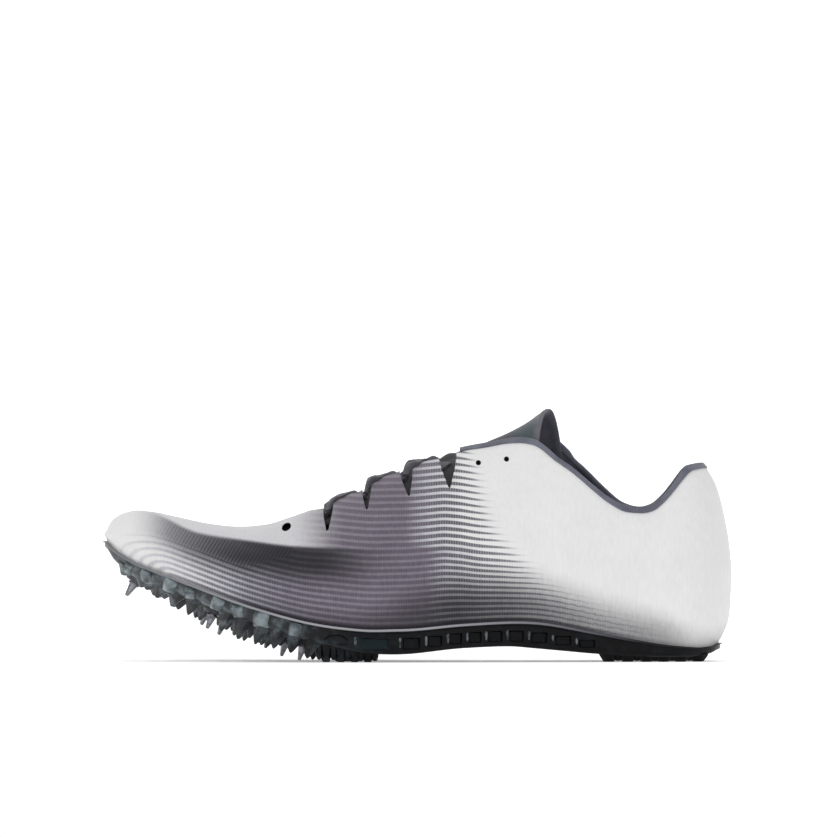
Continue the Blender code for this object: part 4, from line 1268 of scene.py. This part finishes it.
def add_lugs(shell):
    """Square floor lugs, and small round ones between them."""
    down = Vector((0, 0, -1))
    for station, across, half in stud_places(FILL_LUGS):
        foot = plate_underside(station, across)
        profile = [(-STUD_SINK, half * 1.3), (0.0, half * 1.2), (foot.z * 0.5, half)]
        profile += [(foot.z * 0.76, half * 0.74), (foot.z * 0.86, half * 0.36)]
        shell.lathe(foot, down, profile, 14)
    for station, across, half, sole in stud_places(LUGS):
        foot = plate_underside(station, across)
        profile = [(-STUD_SINK, half * 1.5), (0.0002, half * 1.36), (foot.z * 0.9, sole * 1.46)]
        profile.append((foot.z, sole * 1.28))
        shell.stud(foot, down, profile, math.pi / 4)


def add_pads(shell):
    """Flat rest pads under the middle of the forefoot and heel."""
    for station, long, wide in PADS:
        foot = plate_underside(station, 0.0)
        rings = []
        for z, inset in ((foot.z + STUD_SINK, 0.0), (0.0003, 0.0), (0.0, 0.0003)):
            x, y = long - inset, wide - inset
            corners = ((-x, -y), (x, -y), (x, y), (-x, y))
            rings.append([(foot.x + i, foot.y + j, z) for i, j in corners])
        shell.sweep(rings)


def add_pods(shell):
    """Pods round the pins' seats."""
    seat = PIN_SHANK + GAP
    for station, across in PINS:
        profile = [(-0.0010, POD_RADIUS * 1.25), (POD_HEIGHT * 0.8, POD_RADIUS * 1.03)]
        profile += [(POD_HEIGHT, POD_RADIUS * 0.94), (POD_HEIGHT, seat)]
        profile.append((POD_HEIGHT - PIN_SEAT * 0.9, seat))
        normal = underside_normal(station, across)
        shell.lathe(plate_underside(station, across), normal, profile, 28)


def plate_studs():
    """Teeth, floor lugs, pads and pin pods."""
    shell = Shell()
    for add in (add_teeth, add_lugs, add_pads, add_pods):
        add(shell)
    return new_object("studs", shell.points, shell.faces, 30)


def build_plate():
    """Plate, teeth, lugs, pads and pods joined with the shoulders and beads, whose paler tones are painted
    highlights.
    """
    body = plate_body()
    bm = bmesh.new()
    bm.from_mesh(body.data)
    kinds = [0] * len(body.data.polygons)
    for kind, added in enumerate((plate_studs(), side_shoulders(), side_beads())):
        kinds += [kind] * len(added.data.polygons)
        bm.from_mesh(added.data)
        bpy.data.objects.remove(added)
    bm.to_mesh(body.data)
    bm.free()
    body.data.polygons.foreach_set("material_index", kinds)
    body.data.polygons.foreach_set("use_smooth", [True] * len(body.data.polygons))
    body.data.set_sharp_from_angle(angle=math.radians(30))
    return body


def build_pin(number, station, across):
    """Turned steel pin with a flange, a shoulder and a rounded tip."""
    foot = plate_underside(station, across)
    normal = underside_normal(station, across)
    face = foot + normal * POD_HEIGHT
    flange = GAP + PIN_FLANGE
    profile = [(GAP - PIN_SEAT, PIN_SHANK), (GAP, PIN_SHANK), (GAP, PIN_RADIUS * 0.94)]
    profile += [(GAP + 0.0001, PIN_RADIUS), (flange - 0.0001, PIN_RADIUS)]
    profile += [(flange, PIN_RADIUS * 0.94), (flange, PIN_RADIUS * 0.76)]
    profile += [(flange + 0.0004, PIN_RADIUS * 0.68), (GAP + PIN_LENGTH * 0.96, PIN_TIP * 1.5)]
    profile += [(GAP + PIN_LENGTH * 0.99, PIN_TIP * 1.1), (GAP + PIN_LENGTH, PIN_TIP * 0.5)]
    shell = Shell()
    shell.lathe(face, normal, profile, 32)
    return new_object("pin_%d_steel" % number, shell.points, shell.faces, 30)


# Materials

def colour(red, green, blue):
    """Linear colour from the 0 to 255 values of a screen."""
    values = []
    for value in (red, green, blue):
        share = value / 255
        values.append(share / 12.92 if share <= 0.04045 else ((share + 0.055) / 1.055) ** 2.4)
    return (*values, 1.0)


class Shader:
    """Node material with short calls for what the pieces share."""

    def __init__(self, name):
        self.material = bpy.data.materials.new(name)
        self.material.use_nodes = True
        self.tree = self.material.node_tree
        self.base = self.tree.nodes["Principled BSDF"]
        self.spot = self.add("ShaderNodeTexCoord").outputs["Object"]

    def add(self, kind, **settings):
        node = self.tree.nodes.new(kind)
        for name, value in settings.items():
            setattr(node, name, value)
        return node

    def put(self, socket, value):
        if isinstance(value, bpy.types.NodeSocket):
            self.tree.links.new(value, socket)
        else:
            socket.default_value = value

    def set(self, **values):
        for name, value in values.items():
            self.put(self.base.inputs[name.replace("_", " ")], value)

    def math(self, operation, *values, clamp=False):
        node = self.add("ShaderNodeMath", operation=operation, use_clamp=clamp)
        for socket, value in zip(node.inputs, values):
            self.put(socket, value)
        return node.outputs[0]

    def plus(self, first, second, clamp=False):
        return self.math("ADD", first, second, clamp=clamp)

    def minus(self, first, second):
        return self.math("SUBTRACT", first, second)

    def rest(self, share):
        """What a share leaves of 1."""
        return self.math("SUBTRACT", 1.0, share)

    def times(self, first, second):
        return self.math("MULTIPLY", first, second)

    def linear(self, value, slope, start):
        """Slope times a value, plus a start."""
        return self.math("MULTIPLY_ADD", value, slope, start)

    def window(self, value, start, full, last, end):
        """1 from full to last, 0 before start and after end, smooth between."""
        return self.times(self.smooth(value, start, full), self.rest(self.smooth(value, last, end)))

    def smooth(self, value, start, end):
        """0 below start, 1 above end, smooth between."""
        node = self.add("ShaderNodeMapRange", interpolation_type="SMOOTHSTEP")
        self.put(node.inputs["Value"], value)
        node.inputs["From Min"].default_value = start
        node.inputs["From Max"].default_value = end
        return node.outputs["Result"]

    def field(self, name):
        return self.add("ShaderNodeAttribute", attribute_name=name).outputs["Fac"]

    def axis(self, name):
        node = self.add("ShaderNodeSeparateXYZ")
        self.put(node.inputs[0], self.spot)
        return node.outputs[name]

    def ramp(self, factor, stops, low=0.0, high=1.0):
        """Colour ramp over a value from low to high."""
        if (low, high) != (0.0, 1.0):
            factor = self.math("DIVIDE", self.math("SUBTRACT", factor, low), high - low, clamp=True)
        node = self.add("ShaderNodeValToRGB")
        self.put(node.inputs[0], factor)
        elements = node.color_ramp.elements
        while len(elements) < len(stops):
            elements.new(0.5)
        for element, (value, tint) in zip(elements, stops):
            element.position = (value - low) / (high - low)
            element.color = tint if len(tint) == 4 else colour(*tint)
        return node.outputs[0]

    def mix(self, factor, first, second, blend="MIX"):
        node = self.add("ShaderNodeMix", data_type="RGBA", blend_type=blend)
        self.put(node.inputs["Factor"], factor)
        self.put(node.inputs[6], first)
        self.put(node.inputs[7], second)
        return node.outputs[2]

    def scaled(self, x, y, z, turn=0.0):
        node = self.add("ShaderNodeMapping")
        self.put(node.inputs["Vector"], self.spot)
        node.inputs["Scale"].default_value = (x, y, z)
        node.inputs["Rotation"].default_value = (0.0, turn, 0.0)
        return node.outputs[0]

    def noise(self, vector, scale, detail=2.0, roughness=0.5):
        node = self.add("ShaderNodeTexNoise")
        self.put(node.inputs["Vector"], vector)
        node.inputs["Scale"].default_value = scale
        node.inputs["Detail"].default_value = detail
        node.inputs["Roughness"].default_value = roughness
        return node.outputs["Fac"]

    def wave(self, count):
        """0 to 1 and back once for each whole step of a count."""
        turn = self.math("MULTIPLY", count, 2 * math.pi)
        return self.math("MULTIPLY_ADD", self.math("COSINE", turn), 0.5, 0.5)

    def bump(self, height, distance, strength=1.0, under=None):
        node = self.add("ShaderNodeBump")
        self.put(node.inputs["Height"], height)
        node.inputs["Distance"].default_value = distance
        node.inputs["Strength"].default_value = strength
        if under is not None:
            self.put(node.inputs["Normal"], under)
        return node.outputs[0]


# Colours of the upper, as screen values: yarn colours, which the toe's grooves also use as painted shadow,
# and a dark tint for painted shade
WHITE = (229, 229, 229)
CHALK = (213, 212, 215)
ASH = (190, 190, 197)
MIST = (150, 149, 158)
LILAC = (126, 119, 131)
HEATHER = (112, 110, 120)
PLUM = (92, 86, 98)
SLATE = (78, 76, 86)
# Dark tint that the painted shade mixes in
PAINTED_SHADE_TINT = (38, 36, 48)

RIDGE_TINT = (
    # x, colour of the raised ribs
    (-0.120, WHITE), (-0.098, CHALK), (-0.086, ASH), (-0.074, MIST), (-0.056, LILAC), (0.004, LILAC),
    (0.014, ASH), (0.030, WHITE),
)
GROOVE_TINT = (
    # x, colour between the ribs: painted shadow of the raised ribs at the toe's front, printed stripes
    # behind it
    (-0.125, CHALK), (-0.112, ASH), (-0.100, MIST), (-0.090, HEATHER), (-0.074, SLATE), (-0.050, SLATE),
    (-0.030, PLUM), (0.004, PLUM), (0.016, SLATE), (0.040, HEATHER), (0.070, MIST), (0.110, ASH),
)
X_LOW, X_HIGH = -0.140, 0.140
HATCH_PITCH = 0.00142
HATCH_SLANT = (0.87, -0.50)
KNIT_PITCH = 0.00110


def upper_material():
    """Ribbed printed textile: white at toe and heel, slate and lilac between, fading rib by rib; painted
    shade darkens it by the shade field, and the grooves at the toe carry painted shadow.
    """
    s = Shader("upper_textile")
    x, z = s.axis("X"), s.axis("Z")
    band, strength, hatched = s.field("band"), s.field("strength"), s.field("hatch")
    knit = s.wave(s.times(x, 1 / KNIT_PITCH))
    wander = s.times(s.minus(s.noise(s.spot, 420.0), 0.5), s.smooth(x, 0.045, 0.085))
    wave = s.wave(s.plus(s.field("rib"), s.times(wander, 0.9)))
    groove = s.rest(s.smooth(s.minus(wave, s.field("dark")), -0.24, 0.24))
    dashed = s.linear(s.smooth(x, 0.045, 0.085), 0.40, 0.26)
    dashes = s.rest(s.times(dashed, s.rest(knit)))
    shown = s.times(s.smooth(strength, 0.0, 0.45), dashes)
    groove = s.times(groove, shown)
    slant = s.plus(s.times(x, HATCH_SLANT[0] / HATCH_PITCH), s.times(z, HATCH_SLANT[1] / HATCH_PITCH))
    yarn = s.smooth(s.wave(slant), 0.20, 0.85)
    hatch = s.times(s.linear(yarn, 0.42, 0.56), hatched)
    groove = s.plus(groove, hatch, clamp=True)
    above = s.smooth(band, -0.0008, 0.0010)
    ahead = s.plus(x, s.times(above, 0.009))
    tint = s.mix(groove, s.ramp(ahead, RIDGE_TINT, X_LOW, X_HIGH), s.ramp(x, GROOVE_TINT, X_LOW, X_HIGH))
    vamp = s.times(above, s.rest(s.smooth(x, -0.058, -0.030)))
    tint = s.mix(s.times(vamp, 0.92), tint, colour(*CHALK))
    # Painted shade: the shade field mixes the print towards a dark tint.
    tint = s.mix(s.field("shade"), s.mix(1.0, tint, colour(*PAINTED_SHADE_TINT), "MULTIPLY"), tint)
    weave = s.noise(s.scaled(1.0, 1.0, 0.22), 900.0, 3.0, 0.6)
    cloud = s.noise(s.spot, 60.0, 3.0, 0.5)
    black_white = ((0.3, (0, 0, 0)), (0.7, (255, 255, 255)))
    tint = s.mix(0.14, tint, s.ramp(weave, black_white), "SOFT_LIGHT")
    tint = s.mix(0.08, tint, s.ramp(cloud, black_white), "SOFT_LIGHT")
    s.set(Base_Color=tint, Roughness=0.60, Specular_IOR_Level=0.25, Sheen_Weight=0.08, Sheen_Roughness=0.5)
    grain = s.bump(weave, 0.00012, 0.55)
    grid = s.bump(s.times(knit, strength), 0.00010, 0.6, grain)
    s.set(Normal=s.bump(s.times(yarn, hatched), 0.00018, 0.8, grid))
    return s.material


def cloth(name, tint, light, scale, depth, roughness=0.8, ridge=None):
    """Plain woven cloth with a fine grain and a soft change of tone, ridged across an axis if asked."""
    s = Shader(name)
    grain = s.noise(s.spot, scale, 3.0, 0.6)
    cloud = s.noise(s.spot, 90.0, 2.0)
    mixed = s.mix(s.smooth(cloud, 0.35, 0.70), colour(*tint), colour(*light))
    mixed = s.mix(s.times(s.smooth(grain, 0.45, 0.62), 0.45), mixed, colour(*light))
    normal = s.bump(grain, depth, 0.7)
    if ridge is not None:
        axis, pitch, height = ridge
        rows = s.wave(s.times(s.axis(axis), 1 / pitch))
        mixed = s.mix(s.times(rows, 0.35), mixed, colour(*light))
        normal = s.bump(rows, height, 0.8, normal)
    s.set(Base_Color=mixed, Roughness=roughness, Sheen_Weight=0.25, Sheen_Roughness=0.45, Normal=normal)
    return s.material


TONGUE_MESH = 0.0011
LACE_YARN = 0.0007
TONGUE_TINT_AND_HIGHLIGHT = (
    # x, colour of the outer face, the lit cloth's highlights painted into it
    (0.020, (20, 19, 26)), (0.030, (32, 31, 42)), (0.040, (42, 42, 54)), (0.045, (56, 72, 78)),
    (0.051, (62, 76, 82)), (0.054, (104, 103, 111)), (0.060, (88, 86, 95)),
)


def tongue_material():
    """Slate cloth that turns light grey towards the tongue's top, its tones partly painted highlight."""
    s = Shader("tongue_textile")
    x, z = s.axis("X"), s.axis("Z")
    grain = s.noise(s.spot, 1500.0, 3.0, 0.6)
    patch = s.plus(x, s.times(s.minus(s.noise(s.spot, 260.0), 0.5), 0.006))
    tint = s.ramp(patch, TONGUE_TINT_AND_HIGHLIGHT, X_LOW, X_HIGH)
    mesh = s.wave(s.times(s.plus(x, z), 1 / TONGUE_MESH))
    tint = s.mix(s.times(grain, 0.25), tint, colour(26, 26, 34))
    s.set(Base_Color=tint, Roughness=0.78, Sheen_Weight=0.25)
    s.set(Normal=s.bump(mesh, 0.00010, 0.4, s.bump(grain, 0.00012, 0.6)))
    return s.material


def lace_material():
    """Tight flat weave: short slanted yarns in two directions."""
    s = Shader("lace_textile")
    x, y = s.axis("X"), s.axis("Y")
    one = s.wave(s.times(s.plus(x, y), 1 / LACE_YARN))
    two = s.wave(s.times(s.minus(x, y), 1 / LACE_YARN))
    yarn = s.math("MAXIMUM", one, two)
    tint = s.mix(yarn, colour(26, 26, 34), colour(72, 71, 80))
    s.set(Base_Color=tint, Roughness=0.72, Sheen_Weight=0.3, Normal=s.bump(yarn, 0.00015, 0.7))
    return s.material


def shoulder_material():
    """The same plastic, glassy, on the blocks between the teeth of the toe, painted paler as a highlight of
    their lit facets.
    """
    s = Shader("plate_shoulders")
    patch = s.smooth(s.noise(s.spot, 170.0, 2.0, 0.5), 0.34, 0.66)
    # Pale tint: painted highlight of the blocks' lit facets, mottled over a darker plastic tone.
    light = s.ramp(s.axis("X"), ((-0.110, (134, 145, 150)), (-0.050, (122, 134, 140))), X_LOW, X_HIGH)
    s.set(Base_Color=s.mix(patch, colour(56, 64, 68), light), Roughness=0.22, Specular_IOR_Level=0.6)
    return s.material


def bead_material():
    """The same plastic where the side's thin ribs carry a painted highlight, paler in patches."""
    s = Shader("plate_beads")
    # Painted highlight: paler patches on the ribs where light would catch their edges.
    painted_glint = s.noise(s.spot, 420.0, 3.0, 0.6)
    tint = s.mix(s.smooth(painted_glint, 0.35, 0.62), colour(14, 15, 18), colour(104, 110, 116))
    s.set(Base_Color=tint, Roughness=0.32, Specular_IOR_Level=0.4)
    return s.material


# Teal facet in the plate's waist: x and height over the lip where it starts, is full, still full, and ends
FACET_X = (-0.0266, -0.0256, -0.0126, -0.0116)
FACET_RISE = (-0.0092, -0.0084, -0.0042, -0.0034)


def plate_material():
    """Moulded plastic: smoky grey at the toe under pale patches of painted highlight, near black behind,
    with a painted highlight along the rim.
    """
    s = Shader("plate_plastic")
    x = s.axis("X")
    rise = s.field("rise")
    tint = s.ramp(x, ((-0.139, (68, 72, 76)), (-0.110, (42, 46, 49)), (-0.075, (28, 31, 34)),
                      (-0.050, (15, 16, 19)), (-0.025, (11, 11, 14)), (0.139, (8, 8, 10))), X_LOW, X_HIGH)
    cloud = s.noise(s.spot, 190.0, 3.0, 0.55)
    # Pale cloudy patches at the toe: painted highlights of its lit facets over the smoky plastic.
    smoke_and_highlight = s.ramp(x, ((-0.100, (112, 122, 127)), (-0.055, (84, 95, 100)), (-0.030, (30, 40, 44)),
                       (0.000, (20, 22, 26))), X_LOW, X_HIGH)
    tint = s.mix(s.times(s.smooth(cloud, 0.44, 0.72), 0.75), tint, smoke_and_highlight)
    facet = s.times(s.window(x, *FACET_X), s.window(rise, *FACET_RISE))
    tint = s.mix(s.times(facet, 0.7), tint, colour(22, 38, 42))
    # Painted highlight along the rounded top of the rim, brightest at the waist and fading towards the heel.
    rim = s.ramp(x, ((-0.139, (112, 113, 116)), (-0.100, (132, 132, 136)), (-0.060, (156, 156, 161)),
                     (0.005, (158, 158, 164)), (0.040, (134, 134, 140)), (0.075, (92, 92, 98)),
                     (0.100, (36, 36, 41)), (0.139, (18, 18, 22))), X_LOW, X_HIGH)
    tint = s.mix(s.smooth(rise, -0.0012, -0.0008), tint, rim)
    grain = s.noise(s.spot, 2200.0, 2.0)
    rough = s.linear(cloud, 0.20, 0.24)
    gloss = s.linear(s.smooth(x, -0.080, -0.020), -0.30, 0.42)
    s.set(Base_Color=tint, Roughness=rough, Specular_IOR_Level=gloss)
    s.set(Normal=s.bump(grain, 0.00004, 0.5))
    return s.material


def steel_material():
    """Turned steel with fine rings and a little wear."""
    s = Shader("pin_steel")
    rings = s.noise(s.scaled(1.0, 1.0, 6.0), 900.0, 2.0)
    wear = s.noise(s.spot, 500.0, 3.0)
    tint = s.mix(s.smooth(wear, 0.45, 0.75), colour(140, 141, 146), colour(84, 85, 92))
    s.set(Base_Color=tint, Metallic=1.0, Roughness=s.linear(wear, 0.2, 0.2))
    s.set(Normal=s.bump(rings, 0.00003, 0.5))
    return s.material


def build_shoe():
    """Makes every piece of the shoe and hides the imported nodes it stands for."""
    form = upper_form()
    lining = cloth("lining_textile", (62, 62, 74), (90, 90, 102), 1300.0, 0.00012)
    dress(build_upper(form), [upper_material(), lining], ["upper"])
    ridge = ("X", 0.0010, 0.00010)
    binding = cloth("collar_knit", (74, 77, 90), (106, 108, 121), 1600.0, 0.00012, 0.72, ridge)
    dress(build_binding(form), [binding], ["collar_binding"])
    dress(build_tongue(), [tongue_material(), lining], ["tongue"])
    dress(build_lace(), [lace_material()], ["lace"])
    insole = cloth("insole_foam", (28, 28, 34), (44, 44, 52), 1100.0, 0.00015, 0.9)
    dress(build_insole(), [insole], ["insole"])
    plate = build_plate()
    store_fields(plate.data, ("rise",))
    dress(plate, [plate_material(), shoulder_material(), bead_material()], ["spike_plate"])
    steel = steel_material()
    for number, (station, across) in enumerate(PINS, 1):
        dress(build_pin(number, station, across), [steel], ["pin_%d" % number])


# Floor, light and camera
VIEW_CENTRE = Vector((0.00088, 0.0, 0.10670))
VIEW_WIDTH = 0.3683
CAMERA_DISTANCE = 4.0
CAMERA_HEIGHT = 0.060
FLOOR_SIZE = 12.0
BACKDROP = 4.6
BACKDROP_BEND = 0.8
BACKDROP_HEIGHT = 4.0
FLOOR_GLOW = 0.32
BACKDROP_GLOW = 0.28
WORLD_LIGHT = 0.56
LIGHTS = (
    # name, place, target, size, power
    ("key", (-0.9, -1.3, 1.5), (0.0, 0.0, 0.05), (1.1, 1.1), 9.0),
    ("fill", (1.1, -1.4, 0.7), (0.0, 0.0, 0.05), (0.9, 0.9), 2.0),
    ("top", (0.1, 0.2, 1.5), (0.0, 0.0, 0.0), (1.4, 0.7), 4.0),
)


def build_floor():
    """Pale floor that curves up into a backdrop."""
    s = Shader("floor_paper")
    grain = s.noise(s.spot, 300.0, 3.0)
    s.set(Base_Color=s.mix(s.smooth(grain, 0.3, 0.7), colour(250, 250, 250), colour(254, 254, 254)))
    s.set(Roughness=0.9, Normal=s.bump(grain, 0.0001, 0.1))
    far = s.smooth(s.axis("Y"), 0.6, 3.0)
    s.set(Emission_Color=(1.0, 1.0, 1.0, 1.0), Emission_Strength=s.linear(far, BACKDROP_GLOW, FLOOR_GLOW))
    profile = [(-FLOOR_SIZE / 2, 0.0), (BACKDROP, 0.0)]
    for n in range(1, 13):
        angle = math.pi / 2 * n / 12
        profile.append((BACKDROP + BACKDROP_BEND * math.sin(angle), BACKDROP_BEND * (1 - math.cos(angle))))
    profile.append((BACKDROP + BACKDROP_BEND, BACKDROP_HEIGHT))
    mesh = bpy.data.meshes.new("floor")
    half = FLOOR_SIZE / 2
    points = [(x, y, z) for y, z in profile for x in (-half, half)]
    faces = [(2 * n, 2 * n + 1, 2 * n + 3, 2 * n + 2) for n in range(len(profile) - 1)]
    mesh.from_pydata(points, [], faces)
    mesh.polygons.foreach_set("use_smooth", [True] * len(faces))
    floor = bpy.data.objects.new("floor", mesh)
    bpy.context.scene.collection.objects.link(floor)
    mesh.materials.append(s.material)


def add_light(name, spot, target, size, power):
    """Rectangular light aimed at a target."""
    data = bpy.data.lights.new(name, "AREA")
    data.shape = "RECTANGLE"
    data.size, data.size_y = size
    data.energy = power
    light = bpy.data.objects.new(name, data)
    light.location = spot
    light.rotation_euler = (Vector(target) - Vector(spot)).to_track_quat("-Z", "Y").to_euler()
    bpy.context.scene.collection.objects.link(light)


def build_studio():
    """White surroundings and three soft lights."""
    world = bpy.data.worlds.new("studio")
    bpy.context.scene.world = world
    world.use_nodes = True
    background = world.node_tree.nodes["Background"].inputs
    background["Color"].default_value = (1.0, 1.0, 1.0, 1.0)
    background["Strength"].default_value = WORLD_LIGHT
    for light in LIGHTS:
        add_light(*light)
    bpy.context.scene.view_settings.view_transform = "Standard"


def build_camera():
    """Level long lens on the lateral side, looking along +Y as in the photo."""
    data = bpy.data.cameras.new("camera")
    camera = bpy.data.objects.new("camera", data)
    bpy.context.scene.collection.objects.link(camera)
    camera.location = (VIEW_CENTRE.x, -CAMERA_DISTANCE, CAMERA_HEIGHT)
    look = VIEW_CENTRE - camera.location
    camera.rotation_euler = look.to_track_quat("-Z", "Y").to_euler()
    data.sensor_width = 36.0
    data.lens = data.sensor_width * look.length / VIEW_WIDTH
    data.clip_end = 50.0
    bpy.context.scene.camera = camera


build_floor()
build_studio()
build_camera()
build_shoe()
